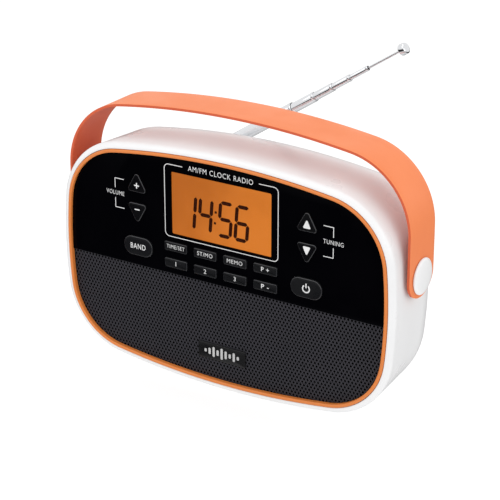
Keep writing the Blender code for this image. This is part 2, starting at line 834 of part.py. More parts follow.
def strap_path():
    """(x, z, outward x, outward z, half breadth) from the right end up and over to the left end."""
    half_breadth = strap_breadth / 2
    outline = arc_outline(
        strap_half_width, strap_rise, strap_top_radius, strap_side_radius, strap_shoulder_radius
    )
    upper = outline[: len(outline) // 2 + 1]
    path = []
    for step in range(6, 0, -1):
        drop = half_breadth * sin(pi / 2 * step / 6.35)
        path.append((strap_half_width, -drop, 1.0, 0.0, sqrt(half_breadth**2 - drop**2)))
    for i, (x, z) in enumerate(upper):
        if i in (0, len(upper) - 1):
            outward = Vector((1.0 if i == 0 else -1.0, 0.0))
        else:
            along = Vector(upper[i + 1]) - Vector(upper[i - 1])
            outward = Vector((along.y, -along.x)).normalized()
        path.append((x, z, outward.x, outward.y, half_breadth))
    for step in range(1, 7):
        drop = half_breadth * sin(pi / 2 * step / 6.35)
        path.append((-strap_half_width, -drop, -1.0, 0.0, sqrt(half_breadth**2 - drop**2)))
    return path


def make_handle(materials):
    pivot = (0.0, pivot_y, pivot_z)
    points = []
    for x, z, out_x, out_z, half_breadth in strap_path():
        for depth, y in ((0.0, -1.0), (0.0, 1.0), (strap_thickness, 1.0), (strap_thickness, -1.0)):
            points.append((x - out_x * depth, pivot_y + y * half_breadth, pivot_z + z - out_z * depth))
    strap = mesh_object("handle_strap", points, loft_faces(len(points) // 4, 4), materials["strap"], pivot)
    reach = strap_half_width + wall
    bore = [(bush_radius + gap, -reach), (bush_radius + gap, reach)]
    combine(strap, turned("cut_strap_bores", bore, pivot, (1.0, 0.0, 0.0)))
    strap_inside = strap_half_width - strap_thickness
    bush_end = strap_half_width
    for side, name in ((-1.0, "left"), (1.0, "right")):
        axis = (side, 0.0, 0.0)
        washer = [
            (bush_radius + gap, washer_inside),
            (washer_radius, washer_inside),
            (washer_radius, strap_inside - gap),
            (bush_radius + gap, strap_inside - gap),
        ]
        turned(f"handle_washer_{name}", washer, pivot, axis, materials["nylon"], hollow=True)
        flange_back = face_half_width - wall - bush_grip + gap
        bush = [
            (bush_flange_radius, flange_back - bush_flange_thickness),
            (bush_flange_radius, flange_back),
            (bush_radius, flange_back),
            (bush_radius, bush_end),
        ]
        turned(f"handle_bush_{name}", bush, pivot, axis, materials["nylon"], segments=24)
        cap_inside = strap_half_width + gap
        cap = [
            (cap_disc_radius, cap_inside),
            (cap_disc_radius, cap_inside + cap_edge * 0.6),
            (cap_disc_radius * 0.955, cap_inside + cap_edge),
            (cap_disc_radius * 0.75, cap_inside + cap_edge + (cap_height - cap_edge) * 0.45),
            (cap_disc_radius * 0.45, cap_inside + cap_edge + (cap_height - cap_edge) * 0.8),
            (cap_disc_radius * 0.12, cap_inside + cap_height),
        ]
        turned(f"handle_cap_{name}", cap, pivot, axis, materials["casing"])


# ---- Antenna ----


def antenna_point(along, across=0.0, back=0.0):
    return Vector(antenna_pivot) + antenna_along * along + antenna_across * across + backwards * back


def make_turret(material):
    """Swivelling base: a shaft in the back wall, a disc, and two ears that hold the tilt pin."""
    x, y, z = antenna_pivot
    disc_front = casing_depth + gap
    disc_back = disc_front + turret_thickness
    profile = [
        (turret_shaft_radius, disc_front - turret_shaft_length),
        (turret_shaft_radius, disc_front),
        (turret_radius, disc_front),
        (turret_radius, disc_back),
    ]
    turret = turned("antenna_turret", profile, (x, 0.0, z), backwards, material, (x, y, z), 28)
    sides = []
    for step in range(9):
        angle = pi * step / 8
        sides.append((ear_radius * cos(angle), ear_radius * sin(angle)))
    foot_depth = disc_back - y - turret_thickness / 2
    sides += [(-ear_radius, foot_depth), (ear_radius, foot_depth)]
    points, faces = [], []
    for side in (-1.0, 1.0):
        inner = side * (knuckle_width / 2 + gap)
        faces += loft_faces(2, len(sides), len(points))
        for across in (inner, inner + side * ear_thickness):
            points += [antenna_point(along, across, back) for along, back in sides]
    combine(turret, mesh_object("join_turret_ears", points, faces), "UNION")
    bore_reach = knuckle_width + ear_thickness
    bore = [(pin_radius + 0.1 * mm, -bore_reach), (pin_radius + 0.1 * mm, bore_reach)]
    combine(turret, turned("cut_pin_bore", bore, antenna_pivot, antenna_across, segments=20))
    return turret


def make_knuckle(material):
    """Ball end on the tilt pin, with a round neck that plugs the lowest tube."""
    half = knuckle_width / 2
    eye = [(knuckle_radius, -half), (knuckle_radius, half)]
    knuckle = turned("antenna_knuckle", eye, antenna_pivot, antenna_across, material, segments=24)
    bore = tube_diameters[0] / 2 - tube_wall - 0.15 * mm
    neck_radius = half - 0.05 * mm
    neck = [
        (neck_radius, 0.0),
        (neck_radius, tube_start - 2.5 * mm),
        (tube_diameters[0] / 2, tube_start - 1.5 * mm),
        (tube_diameters[0] / 2, tube_start - gap),
        (bore, tube_start - gap),
        (bore, knuckle_neck),
    ]
    combine(knuckle, turned("join_knuckle_neck", neck, antenna_pivot, antenna_along, segments=20), "UNION")
    hole = [(pin_radius + 0.1 * mm, -knuckle_width), (pin_radius + 0.1 * mm, knuckle_width)]
    combine(knuckle, turned("cut_knuckle_bore", hole, antenna_pivot, antenna_across, segments=20))
    return knuckle


def make_antenna(material):
    make_turret(material)
    make_knuckle(material)
    pin_half = knuckle_width / 2 + gap + ear_thickness
    pin = [(pin_radius, -pin_half), (pin_radius, pin_half)]
    turned("antenna_pin", pin, antenna_pivot, antenna_across, material, segments=20)
    for index, (diameter, end, length) in enumerate(zip(tube_diameters, tube_ends, tube_lengths), 1):
        radius = diameter / 2
        tube = [
            (radius, end - length),
            (radius, end),
            (radius - tube_wall, end),
            (radius - tube_wall, end - length),
        ]
        origin = antenna_point(end - length)
        turned(f"antenna_tube_{index}", tube, antenna_pivot, antenna_along, material, origin, 16, hollow=True)
    rod = [
        (rod_diameter / 2, rod_end - rod_length),
        (rod_diameter / 2, rod_end - tip_length),
        (tip_diameter * 0.42, rod_end - tip_length),
        (tip_diameter / 2, rod_end - tip_length * 0.8),
        (tip_diameter / 2, rod_end - tip_length * 0.2),
        (tip_diameter * 0.42, rod_end),
    ]
    origin = antenna_point(rod_end - rod_length)
    turned("antenna_rod", rod, antenna_pivot, antenna_along, material, origin, 20)


def main():
    clear_scene()
    materials = {
        "casing": make_material("white_casing", (0.86, 0.86, 0.87), 0.3),
        "strap": make_material("orange_strap", (0.85, 0.22, 0.09), 0.5),
        "trim": make_material("orange_trim", (0.8, 0.2, 0.03), 0.35),
        "panel": make_material("gloss_black_panel", (0.006, 0.006, 0.008), 0.12),
        "window": make_material("clear_window", (0.9, 0.9, 0.9), 0.05, alpha=0.2),
        "lcd": make_material("display_glass", (0.6, 0.17, 0.03), 0.3),
        "backlight": make_material("amber_backlight", (0.9, 0.28, 0.04), 0.4, glow=1.0),
        "grille": make_material("black_grille", (0.03, 0.03, 0.035), 0.5),
        "badge": make_material("badge_plate", (0.03, 0.03, 0.035), 0.3, 0.6),
        "button": make_material("black_button", (0.015, 0.015, 0.017), 0.4),
        "rubber": make_material("black_rubber", (0.02, 0.02, 0.02), 0.8),
        "nylon": make_material("white_nylon", (0.7, 0.7, 0.68), 0.5),
        "steel": make_material("steel", (0.55, 0.55, 0.56), 0.35, 1.0),
        "chrome": make_material("chrome", (0.8, 0.8, 0.82), 0.08, 1.0),
        "board": make_material("green_board", (0.02, 0.15, 0.05), 0.4),
        "ferrite": make_material("ferrite", (0.04, 0.04, 0.045), 0.6),
        "paper": make_material("black_paper", (0.03, 0.03, 0.03), 0.9),
    }
    make_front_shell(materials["casing"])
    make_rear_shell(materials["casing"])
    make_feet(materials["rubber"])
    make_case_screws(materials["steel"])
    make_trim_ring(materials["trim"])
    make_face(materials)
    make_display(materials)
    make_buttons(materials["button"])
    make_keypad_mat(materials["rubber"])
    make_electronics(materials)
    make_speaker(materials)
    make_battery_bay(materials)
    make_mains_inlet(materials["panel"])
    make_handle(materials)
    make_antenna(materials["chrome"])


main()
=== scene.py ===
import math

import bmesh
import bpy
from mathutils import Matrix, Vector


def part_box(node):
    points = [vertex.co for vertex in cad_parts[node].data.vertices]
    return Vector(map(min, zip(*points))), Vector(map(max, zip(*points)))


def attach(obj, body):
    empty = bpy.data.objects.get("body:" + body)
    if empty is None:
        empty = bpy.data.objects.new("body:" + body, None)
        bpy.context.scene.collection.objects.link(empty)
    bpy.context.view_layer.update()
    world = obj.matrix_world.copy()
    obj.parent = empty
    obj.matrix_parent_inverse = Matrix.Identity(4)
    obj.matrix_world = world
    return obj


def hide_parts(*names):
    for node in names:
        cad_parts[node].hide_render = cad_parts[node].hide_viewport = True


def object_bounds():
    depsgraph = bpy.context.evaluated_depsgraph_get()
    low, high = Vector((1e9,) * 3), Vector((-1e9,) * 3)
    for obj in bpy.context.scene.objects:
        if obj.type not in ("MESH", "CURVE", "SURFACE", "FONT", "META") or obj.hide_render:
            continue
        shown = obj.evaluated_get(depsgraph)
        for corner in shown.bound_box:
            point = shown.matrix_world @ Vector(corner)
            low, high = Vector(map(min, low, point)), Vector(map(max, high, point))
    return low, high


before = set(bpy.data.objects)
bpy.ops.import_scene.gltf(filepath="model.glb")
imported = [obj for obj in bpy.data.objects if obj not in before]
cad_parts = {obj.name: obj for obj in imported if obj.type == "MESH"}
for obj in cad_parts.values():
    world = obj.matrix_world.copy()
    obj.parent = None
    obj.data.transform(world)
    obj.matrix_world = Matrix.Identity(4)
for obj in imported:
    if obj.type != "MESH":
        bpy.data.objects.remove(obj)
cadBounds = [[float(n) for n in corner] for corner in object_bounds()]
mm = 0.001
frontwards = -1
backwards = 1

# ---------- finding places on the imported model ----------


def nodeBox(name):
    low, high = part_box(name)
    return Vector(low), Vector(high)


def nodeMiddle(name):
    low, high = nodeBox(name)
    return (low + high) / 2, high - low


ringLow, ringHigh = nodeBox("trim_ring")
face = {
    "topRadius": 513 * mm,
    "sideRadius": 279 * mm,
    "cornerRadius": 39.4 * mm,
    "ringWidth": 2.6 * mm,
    "ringShown": 2.3 * mm,
    "ringCrown": 0.8 * mm,
    "steps": (10, 26, 16),
}
halfWidth = (ringHigh.x - ringLow.x) / 2 - face["ringWidth"]
halfHeight = (ringHigh.z - ringLow.z) / 2 - face["ringWidth"]
faceZ = (ringLow.z + ringHigh.z) / 2
frontY = ringLow.y + face["ringCrown"]


# ---------- outlines, as lists of (x, z) going anticlockwise seen from the front ----------


def quarterArcs(halfAcross, halfUp, radii, steps):
    # A quarter of an outline of three arcs, from its side to its top: each point's centre, radius and angle.
    sideRadius, cornerRadius, topRadius = radii
    sideCentre, topCentre = halfAcross - sideRadius, halfUp - topRadius
    toTop = topRadius - cornerRadius
    toSide = sideRadius - cornerRadius
    apart = math.hypot(sideCentre, topCentre)
    along = (toTop**2 - toSide**2 + apart**2) / (2 * apart)
    aside = math.sqrt(toTop**2 - along**2)
    cornerX = (along * sideCentre - aside * topCentre) / apart
    cornerZ = topCentre - (along * topCentre + aside * sideCentre) / apart
    sideAngle = math.atan2(cornerZ, cornerX - sideCentre)
    topAngle = math.atan2(cornerZ - topCentre, cornerX)
    arcs = [
        (sideCentre, 0.0, sideRadius, 0.0, sideAngle),
        (cornerX, cornerZ, cornerRadius, sideAngle, topAngle),
        (0.0, topCentre, topRadius, topAngle, math.pi / 2),
    ]
    places = []
    for (x, z, radius, first, last), count in zip(arcs, steps):
        places += [(x, z, radius, first + (last - first) * step / count) for step in range(count)]
    return places


def faceOutline(offset=0.0):
    radii = (face["sideRadius"], face["cornerRadius"], face["topRadius"])
    quarter = []
    for x, z, radius, angle in quarterArcs(halfWidth, halfHeight, radii, face["steps"]):
        reach = radius + offset
        quarter.append((x + reach * math.cos(angle), z + reach * math.sin(angle)))
    upper = quarter + [(0.0, halfHeight + offset)] + [(-x, z) for x, z in reversed(quarter)]
    lower = [(x, -z) for x, z in reversed(upper[1:-1])]
    return [(x, z + faceZ) for x, z in upper + lower]


def clipOutline(points, level, keepAbove):
    kept = []
    for (x0, z0), (x1, z1) in zip(points, points[1:] + points[:1]):
        inside = (z0 > level) == keepAbove
        if inside:
            kept.append((x0, z0))
        if inside != ((z1 > level) == keepAbove):
            part = (level - z0) / (z1 - z0)
            kept.append((x0 + (x1 - x0) * part, level))
    return kept


def roundCorners(points, radius, steps=6):
    outline = []
    for i, point in enumerate(points):
        here = Vector(point)
        before = (Vector(points[i - 1]) - here).normalized()
        after = (Vector(points[(i + 1) % len(points)]) - here).normalized()
        half = math.acos(max(-1.0, min(1.0, before.dot(after)))) / 2
        centre = here + (before + after).normalized() * (radius / math.sin(half))
        start = here + before * (radius / math.tan(half))
        end = here + after * (radius / math.tan(half))
        first = math.atan2(start.y - centre.y, start.x - centre.x)
        turn = math.atan2(end.y - centre.y, end.x - centre.x) - first
        turn = (turn + math.pi) % (2 * math.pi) - math.pi
        for step in range(steps + 1):
            angle = first + turn * step / steps
            outline.append((centre.x + radius * math.cos(angle), centre.y + radius * math.sin(angle)))
    return outline


def roundedBox(x, z, width, height, radius, steps=6):
    halfW, halfH = width / 2, height / 2
    corners = [(x + halfW, z + halfH), (x - halfW, z + halfH), (x - halfW, z - halfH), (x + halfW, z - halfH)]
    return roundCorners(corners, radius, steps)


def roundedTriangle(x, z, width, height, radius, pointsUp, steps=6):
    side = 1.0 if pointsUp else -1.0
    slope = math.atan2(height, width / 2)
    spread = radius * (1.0 / math.tan(slope / 2) - 1.0)
    top = radius * (1.0 / math.cos(slope) - 1.0)
    corners = [(0.0, height / 2 + top), (-width / 2 - spread, -height / 2), (width / 2 + spread, -height / 2)]
    shape = [(x + a, z + side * b) for a, b in roundCorners(corners, radius, steps)]
    return shape if pointsUp else shape[::-1]


def stroke(path, width):
    # A line of even width through the path's points, mitred at its bends.
    left, right = [], []
    for i, point in enumerate(path):
        here = Vector(point)
        before = (here - Vector(path[max(0, i - 1)])).normalized() if i else None
        after = (Vector(path[i + 1]) - here).normalized() if i + 1 < len(path) else None
        before = before or after
        after = after or before
        normal = Vector((before.y + after.y, -(before.x + after.x))).normalized()
        reach = width / 2 / max(0.3, normal.dot(Vector((before.y, -before.x))))
        left.append(tuple(here - normal * reach))
        right.append(tuple(here + normal * reach))
    return right + left[::-1]


def circlePoints(x, z, radius, steps=48):
    turns = [2 * math.pi * i / steps for i in range(steps)]
    return [(x + radius * math.cos(a), z + radius * math.sin(a)) for a in turns]


# ---------- modelling, all through the operators ----------


def only(piece):
    if bpy.context.object and bpy.context.object.mode != "OBJECT":
        bpy.ops.object.mode_set(mode="OBJECT")
    bpy.ops.object.select_all(action="DESELECT")
    piece.select_set(True)
    bpy.context.view_layer.objects.active = piece


def startEdit(piece):
    only(piece)
    bpy.ops.object.mode_set(mode="EDIT")
    bpy.ops.mesh.select_all(action="SELECT")


def endEdit():
    bpy.ops.object.mode_set(mode="OBJECT")


def startOutline(name, points, y, facing=frontwards):
    bpy.ops.object.select_all(action="DESELECT")
    bpy.ops.mesh.primitive_circle_add(vertices=len(points), radius=1.0, fill_type="NGON")
    piece = bpy.context.object
    piece.name = name
    order = points if facing == frontwards else points[::-1]
    for corner, (x, z) in zip(piece.data.vertices, order):
        corner.co = (x, y, z)
    startEdit(piece)
    return piece


def followRows(rows, start, facing=frontwards):
    # The picked face goes from row to row: inset where the outline narrows, extruded where it doesn't.
    lastOffset, lastY = start
    for offset, y in rows:
        narrower = lastOffset - offset
        if narrower > 1e-7:
            bpy.ops.mesh.inset(thickness=narrower, depth=(y - lastY) * facing, use_even_offset=True)
        else:
            bpy.ops.mesh.extrude_region_move(TRANSFORM_OT_translate={"value": (0.0, y - lastY, 0.0)})
        lastOffset, lastY = offset, y


def slab(name, points, front, back, rows=()):
    # A plate standing from back to front, with its front edge shaped by rows of (inset, y).
    piece = startOutline(name, points, back)
    first = rows[0][1] if rows else front
    bpy.ops.mesh.extrude_region_move(TRANSFORM_OT_translate={"value": (0.0, first - back, 0.0)})
    followRows([(-inset, y) for inset, y in rows[1:]], (0.0, first))
    endEdit()
    return piece


def joined(name, pieces):
    only(pieces[0])
    for piece in pieces[1:]:
        piece.select_set(True)
    if len(pieces) > 1:
        bpy.ops.object.join()
    result = bpy.context.view_layer.objects.active
    result.name = name
    return result


def mergeDoubles(piece, distance):
    startEdit(piece)
    bpy.ops.mesh.remove_doubles(threshold=distance)
    endEdit()


def cleanSlivers(piece, distance=0.005 * mm):
    startEdit(piece)
    bpy.ops.mesh.dissolve_degenerate(threshold=distance)
    bpy.ops.mesh.select_face_by_sides(number=4, type="GREATER")
    bpy.ops.mesh.quads_convert_to_tris(ngon_method="BEAUTY")
    endEdit()


def applyAll(piece):
    only(piece)
    for modifier in list(piece.modifiers):
        bpy.ops.object.modifier_apply(modifier=modifier.name)


def combine(piece, tools, operation="DIFFERENCE"):
    tool = joined("tool", tools)
    modifier = piece.modifiers.new("combine", "BOOLEAN")
    modifier.operation = operation
    modifier.solver = "EXACT"
    modifier.object = tool
    applyAll(piece)
    bpy.data.objects.remove(tool, do_unlink=True)


def softenEdges(piece, width, segments, angle):
    modifier = piece.modifiers.new("soften", "BEVEL")
    modifier.width = width
    modifier.segments = segments
    modifier.limit_method = "ANGLE"
    modifier.angle_limit = math.radians(angle)
    modifier.use_clamp_overlap = True
    applyAll(piece)


def smooth(piece, angle=35):
    only(piece)
    bpy.ops.object.shade_smooth_by_angle(angle=math.radians(angle))


def axisMatrix(place, axis):
    turn = Vector((0.0, 0.0, 1.0)).rotation_difference(Vector(axis)).to_matrix().to_4x4()
    return Matrix.Translation(Vector(place)) @ turn


def turnedPiece(name, profile, place, axis, sides=48, angle=30):
    # A circle drawn up along its axis, through rows of (radius, height), as on a lathe.
    bpy.ops.object.select_all(action="DESELECT")
    radius, height = profile[0]
    bpy.ops.mesh.primitive_circle_add(vertices=sides, radius=radius, fill_type="NGON")
    piece = bpy.context.object
    piece.name = name
    piece.data.transform(Matrix.Translation((0.0, 0.0, height)))
    startEdit(piece)
    for nextRadius, nextHeight in profile[1:]:
        bpy.ops.mesh.extrude_region_move(TRANSFORM_OT_translate={"value": (0.0, 0.0, nextHeight - height)})
        if abs(nextRadius - radius) > 1e-8:
            scale = nextRadius / radius
            bpy.ops.transform.resize(value=(scale, scale, 1.0), center_override=(0.0, 0.0, nextHeight))
        radius, height = nextRadius, nextHeight
    bpy.ops.mesh.select_all(action="SELECT")
    bpy.ops.mesh.normals_make_consistent(inside=False)
    endEdit()
    piece.data.transform(axisMatrix(place, axis))
    smooth(piece, angle)
    return piece


def lettering(words, size, x, z, y, thickness=0.04 * mm, width=None, weight=0.0, spacing=1.12):
    # Upright text in the face's plane, made a mesh before it is put in its place.
    bpy.ops.object.select_all(action="DESELECT")
    bpy.ops.object.text_add(location=(0.0, 0.0, 0.0))
    text = bpy.context.object
    text.data.body = words
    text.data.size = size
    text.data.align_x = "CENTER"
    text.data.align_y = "CENTER"
    text.data.extrude = thickness / 2
    text.data.offset = weight
    text.data.space_character = spacing
    text.data.resolution_u = 4
    only(text)
    bpy.ops.object.convert(target="MESH")
    text = bpy.context.object
    across = [corner.co.x for corner in text.data.vertices]
    squeeze = width / (max(across) - min(across)) if width else 1.0
    middle = (max(across) + min(across)) / 2
    rise = [corner.co.y for corner in text.data.vertices]
    level = (max(rise) + min(rise)) / 2
    text.data.transform(Matrix.Translation((-middle, -level, 0.0)))
    text.data.transform(Matrix.Diagonal((squeeze, 1.0, 1.0, 1.0)))
    text.data.transform(Matrix.Translation((x, y, z)) @ Matrix.Rotation(math.pi / 2, 4, "X"))
    return text


def copyOf(piece, name, move):
    only(piece)
    bpy.ops.object.duplicate()
    copy = bpy.context.object
    copy.name = name
    copy.data.transform(Matrix.Translation(move))
    return copy


# ---------- finishes ----------


class Signal:
    def __init__(self, finish, socket):
        self.finish = finish
        self.socket = socket

    def maths(self, operation, first, second):
        return self.finish.node("ShaderNodeMath", {"operation": operation}, {0: first, 1: second})

    def __add__(self, other):
        return self.maths("ADD", self, other)

    def __mul__(self, other):
        return self.maths("MULTIPLY", self, other)


class Finish:
    def __init__(self, name):
        self.material = bpy.data.materials.new(name)
        self.material.use_nodes = True
        self.tree = self.material.node_tree
        self.shader = self.tree.nodes["Principled BSDF"]

    def node(self, kind, settings, values, output=0):
        made = self.tree.nodes.new(kind)
        for key, value in settings.items():
            if key == "stops":
                for position, shade in value[1:-1]:
                    made.color_ramp.elements.new(position)
                for element, (position, shade) in zip(made.color_ramp.elements, value):
                    element.position = position
                    element.color = shade
            else:
                setattr(made, key, value)
        for key, value in values.items():
            self.put(made.inputs[key], value)
        return Signal(self, made.outputs[output])

    def put(self, socket, value):
        if isinstance(value, Signal):
            self.tree.links.new(value.socket, socket)
        else:
            socket.default_value = value

    def place(self, stretch=(1.0, 1.0, 1.0), turn=(0.0, 0.0, 0.0)):
        spot = self.node("ShaderNodeTexCoord", {}, {}, "Object")
        return self.node("ShaderNodeMapping", {}, {"Vector": spot, "Scale": stretch, "Rotation": turn})

    def noise(self, scale, detail=3.0, stretch=(1.0, 1.0, 1.0), turn=(0.0, 0.0, 0.0)):
        values = {"Vector": self.place(stretch, turn), "Scale": scale, "Detail": detail}
        return self.node("ShaderNodeTexNoise", {}, values, "Fac")

    def shift(self, signal, low, high, start=0.3, end=0.7):
        values = {"Value": signal, "From Min": start, "From Max": end, "To Min": low, "To Max": high}
        return self.node("ShaderNodeMapRange", {"interpolation_type": "SMOOTHSTEP"}, values)

    def blend(self, factor, first, second):
        values = {0: factor, 6: (*first, 1.0), 7: (*second, 1.0)}
        return self.node("ShaderNodeMix", {"data_type": "RGBA"}, values, 2)

    def bump(self, height, distance, strength=1.0):
        values = {"Height": height, "Distance": distance, "Strength": strength}
        return self.node("ShaderNodeBump", {}, values)

    def surface(self, **values):
        for key, value in values.items():
            words = "".join(" " + letter if letter.isupper() else letter for letter in key)
            label = words.title().replace("I O R", "IOR")
            self.put(self.shader.inputs[label], value)
        return self


def plasticFinish(name, light, dark, roughness, spread, depth, scale=9000.0, coat=0.0, level=0.5):
    # Moulded plastic: fine spark-eroded grain, faint uneven gloss, barely uneven colour.
    made = Finish(name)
    broad = made.noise(35.0, 3.0)
    fine = made.noise(scale, 2.0)
    made.surface(
        baseColor=made.blend(made.shift(broad, 0.0, 1.0), light, dark),
        roughness=made.shift(broad, roughness - spread, roughness + spread),
        normal=made.bump(fine, depth),
        coatWeight=coat,
        specularIORLevel=level,
    )
    return made


def metalFinish(name, light, dark, roughness, spread, stretch=(1.0, 1.0, 1.0), turn=(0.0, 0.0, 0.0)):
    made = Finish(name)
    broad = made.noise(60.0, 3.0)
    drawn = made.noise(4000.0, 2.0, stretch, turn)
    made.surface(
        baseColor=made.blend(made.shift(broad, 0.0, 1.0), light, dark),
        roughness=made.shift(drawn * 0.6 + broad * 0.4, roughness - spread, roughness + spread),
        metallic=1.0,
        normal=made.bump(drawn, 0.004 * mm),
    )
    return made


# Each finish: its name, light and dark shade, roughness and its spread, the grain's depth in millimetres,
# and what differs from the usual.
plastics = {
    "casing": ("casingWhite", (0.885, 0.885, 0.89), (0.865, 0.865, 0.87), 0.3, 0.03, 0.006, {"coat": 0.15}),
    "strap": (
        "strapOrange", (0.9, 0.25, 0.085), (0.87, 0.235, 0.078),
        0.45, 0.05, 0.02, {"scale": 5000.0, "level": 0.4},
    ),
    # The strap's edges and inner side: a deeper orange, painted shade where less light falls on them.
    "strapEdgeShade": (
        "strapPaintedShade", (0.68, 0.12, 0.045), (0.64, 0.11, 0.04),
        0.5, 0.05, 0.02, {"scale": 5000.0, "level": 0.3},
    ),
    "trim": ("trimOrange", (0.79, 0.235, 0.048), (0.75, 0.22, 0.044), 0.36, 0.04, 0.005, {}),
    "panel": (
        "panelGlossBlack", (0.0008, 0.0008, 0.0014), (0.0012, 0.0011, 0.0018),
        0.1, 0.03, 0.0008, {"level": 0.02},
    ),
    "button": (
        "buttonSatinBlack", (0.006, 0.0062, 0.0075), (0.0075, 0.0078, 0.009),
        0.27, 0.05, 0.006, {"level": 0.3},
    ),
    "rocker": (
        "rockerSatinBlack", (0.0022, 0.0022, 0.003), (0.0032, 0.0032, 0.004),
        0.27, 0.05, 0.006, {"level": 0.2},
    ),
    # A lighter grey for the rounded rims of the keys: a painted highlight.
    "buttonRimHighlight": ("buttonRimPaintedHighlight", (0.03, 0.03, 0.034), (0.04, 0.04, 0.044), 0.25, 0.05, 0.004, {}),
    "grille": (
        "grillePaint", (0.042, 0.04, 0.049), (0.036, 0.035, 0.043),
        0.5, 0.06, 0.012, {"scale": 7000.0, "level": 0.25},
    ),
    # Near-black and hardly glossy: painted shade, for the grille's hole walls and the sheet behind it.
    "holeShade": (
        "grilleHoleShade", (0.0012, 0.0012, 0.0014), (0.002, 0.002, 0.0022),
        0.9, 0.05, 0.05, {"scale": 2500.0, "level": 0.02},
    ),
    "rubber": ("blackRubber", (0.02, 0.02, 0.02), (0.014, 0.014, 0.014), 0.8, 0.06, 0.03, {"scale": 3000.0}),
    "nylon": ("whiteNylon", (0.72, 0.72, 0.7), (0.66, 0.66, 0.63), 0.48, 0.05, 0.01, {}),
    "ink": ("printWhite", (0.8, 0.8, 0.8), (0.72, 0.72, 0.72), 0.5, 0.05, 0.004, {}),
    "badgeInk": ("badgeSilver", (0.58, 0.58, 0.57), (0.5, 0.5, 0.5), 0.35, 0.06, 0.004, {}),
    "badge": ("badgePlate", (0.006, 0.006, 0.007), (0.009, 0.009, 0.01), 0.22, 0.04, 0.002, {}),
    "ferrite": ("ferriteGrey", (0.05, 0.05, 0.055), (0.03, 0.03, 0.035), 0.55, 0.1, 0.05, {"scale": 1800.0}),
    "paper": ("conePaper", (0.03, 0.03, 0.03), (0.018, 0.018, 0.018), 0.9, 0.05, 0.1, {"scale": 900.0}),
    "inlet": ("inletBlack", (0.02, 0.02, 0.021), (0.013, 0.013, 0.014), 0.42, 0.05, 0.012, {}),
    "segment": (
        "segmentDark", (0.016, 0.0012, 0.001), (0.022, 0.002, 0.0015),
        0.4, 0.05, 0.001, {"level": 0.05},
    ),
}
finishes = {}


def makeFinishes():
    for key, (name, light, dark, roughness, spread, depth, others) in plastics.items():
        finishes[key] = plasticFinish(name, light, dark, roughness, spread, depth * mm, **others)
    finishes["steel"] = metalFinish("zincSteel", (0.62, 0.61, 0.6), (0.5, 0.5, 0.5), 0.32, 0.08)
    finishes["spring"] = metalFinish("springNickel", (0.74, 0.71, 0.66), (0.62, 0.6, 0.56), 0.24, 0.06)
    drawn, along = (0.02, 1.0, 1.0), (0.0, antenna["angle"], 0.0)
    finishes["chrome"] = metalFinish(
        "polishedChrome", (0.86, 0.87, 0.89), (0.8, 0.81, 0.83), 0.07, 0.03, drawn, along
    )
    finishes["board"] = boardFinish()
    finishes["window"] = windowFinish()
    finishes["display"] = displayFinish("displayAmber")
    finishes["backlight"] = displayFinish("backlightAmber")


def boardFinish():
    made = Finish("greenBoard")
    values = {"Vector": made.place(), "Scale": 150.0, "Mortar Size": 0.08}
    tracks = made.node("ShaderNodeTexBrick", {}, values, "Fac")
    made.surface(
        baseColor=made.blend(tracks, (0.015, 0.12, 0.04), (0.05, 0.26, 0.09)),
        roughness=made.shift(made.noise(300.0), 0.3, 0.5),
        normal=made.bump(tracks, 0.04 * mm),
    )
    return made


def windowFinish():
    made = Finish("clearWindow")
    smears = made.noise(50.0, 4.0)
    made.surface(
        baseColor=made.blend(smears, (0.25, 0.08, 0.02), (0.3, 0.1, 0.025)),
        roughness=made.shift(smears, 0.06, 0.14),
        alpha=made.shift(smears, 0.02, 0.035),
        specularIORLevel=0.1,
    )
    made.material.surface_render_method = "BLENDED"
    return made


display = {
    "glow": 1.0,
    "dim": (0.44, 0.115, 0.012),
    "bright": (0.66, 0.19, 0.022),
    "pane": 0.6 * mm,
    "recess": 0.65 * mm,
}


def displayFinish(name):
    # Lit from its ends: darker at the upper left, brighter towards the lower right edge.
    made = Finish(name)
    low, high = nodeBox("lcd_window")
    values = {"Vector": made.node("ShaderNodeTexCoord", {}, {}, "Object")}
    across = made.node("ShaderNodeSeparateXYZ", {}, values, 0)
    upward = made.node("ShaderNodeSeparateXYZ", {}, values, 2)
    sideways = made.shift(across, 0.0, 1.0, low.x, high.x)
    downward = made.shift(upward, 1.0, 0.0, low.z, high.z)
    uneven = made.noise(60.0, 2.0)
    level = sideways * 0.5 + downward * 0.2 + uneven * 0.3
    lit = made.blend(made.shift(level, 0.0, 1.0, 0.15, 0.85), display["dim"], display["bright"])
    made.surface(
        baseColor=made.blend(uneven, (0.05, 0.015, 0.004), (0.06, 0.018, 0.005)),
        roughness=made.shift(uneven, 0.35, 0.45),
        emissionColor=lit,
        emissionStrength=display["glow"],
        specularIORLevel=0.1,
    )
    return made


def finishPiece(piece, finish, body, slot, *nodes):
    piece.data.materials.clear()
    piece.data.materials.append(finishes[finish].material)
    for polygon in piece.data.polygons:
        polygon.material_index = 0
    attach(piece, body)
    if nodes:
        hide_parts(*nodes)
    return piece


# ---------- camera, light and floor ----------

studio = {
    "cameraPlace": (0.5209, -0.82815, 0.49095),
    "cameraAim": (0.0212, -0.03525, 0.09895),
    "lens": 125.7,
    "worldStrength": 0.92,
    "skyStops": ((0.0, 0.75), (0.18, 0.5), (0.27, 0.03), (0.44, 0.03), (0.5, 0.9), (0.56, 1.0)),
    "floorGlow": 0.78,
    "floorShade": 0.3,
    "lamps": (
        ("keyLamp", (-0.55, -0.9, 1.15), 1.0, 2.2),
        ("topLamp", (0.1, 0.15, 1.5), 1.2, 2.6),
        ("sideLamp", (1.3, -0.2, 0.7), 0.9, 1.5),
        ("backLamp", (-0.5, 1.3, 0.9), 0.9, 0.3),
    ),
}


def aimed(obj, place, aim):
    obj.location = place
    obj.rotation_euler = (Vector(aim) - Vector(place)).to_track_quat("-Z", "Y").to_euler()


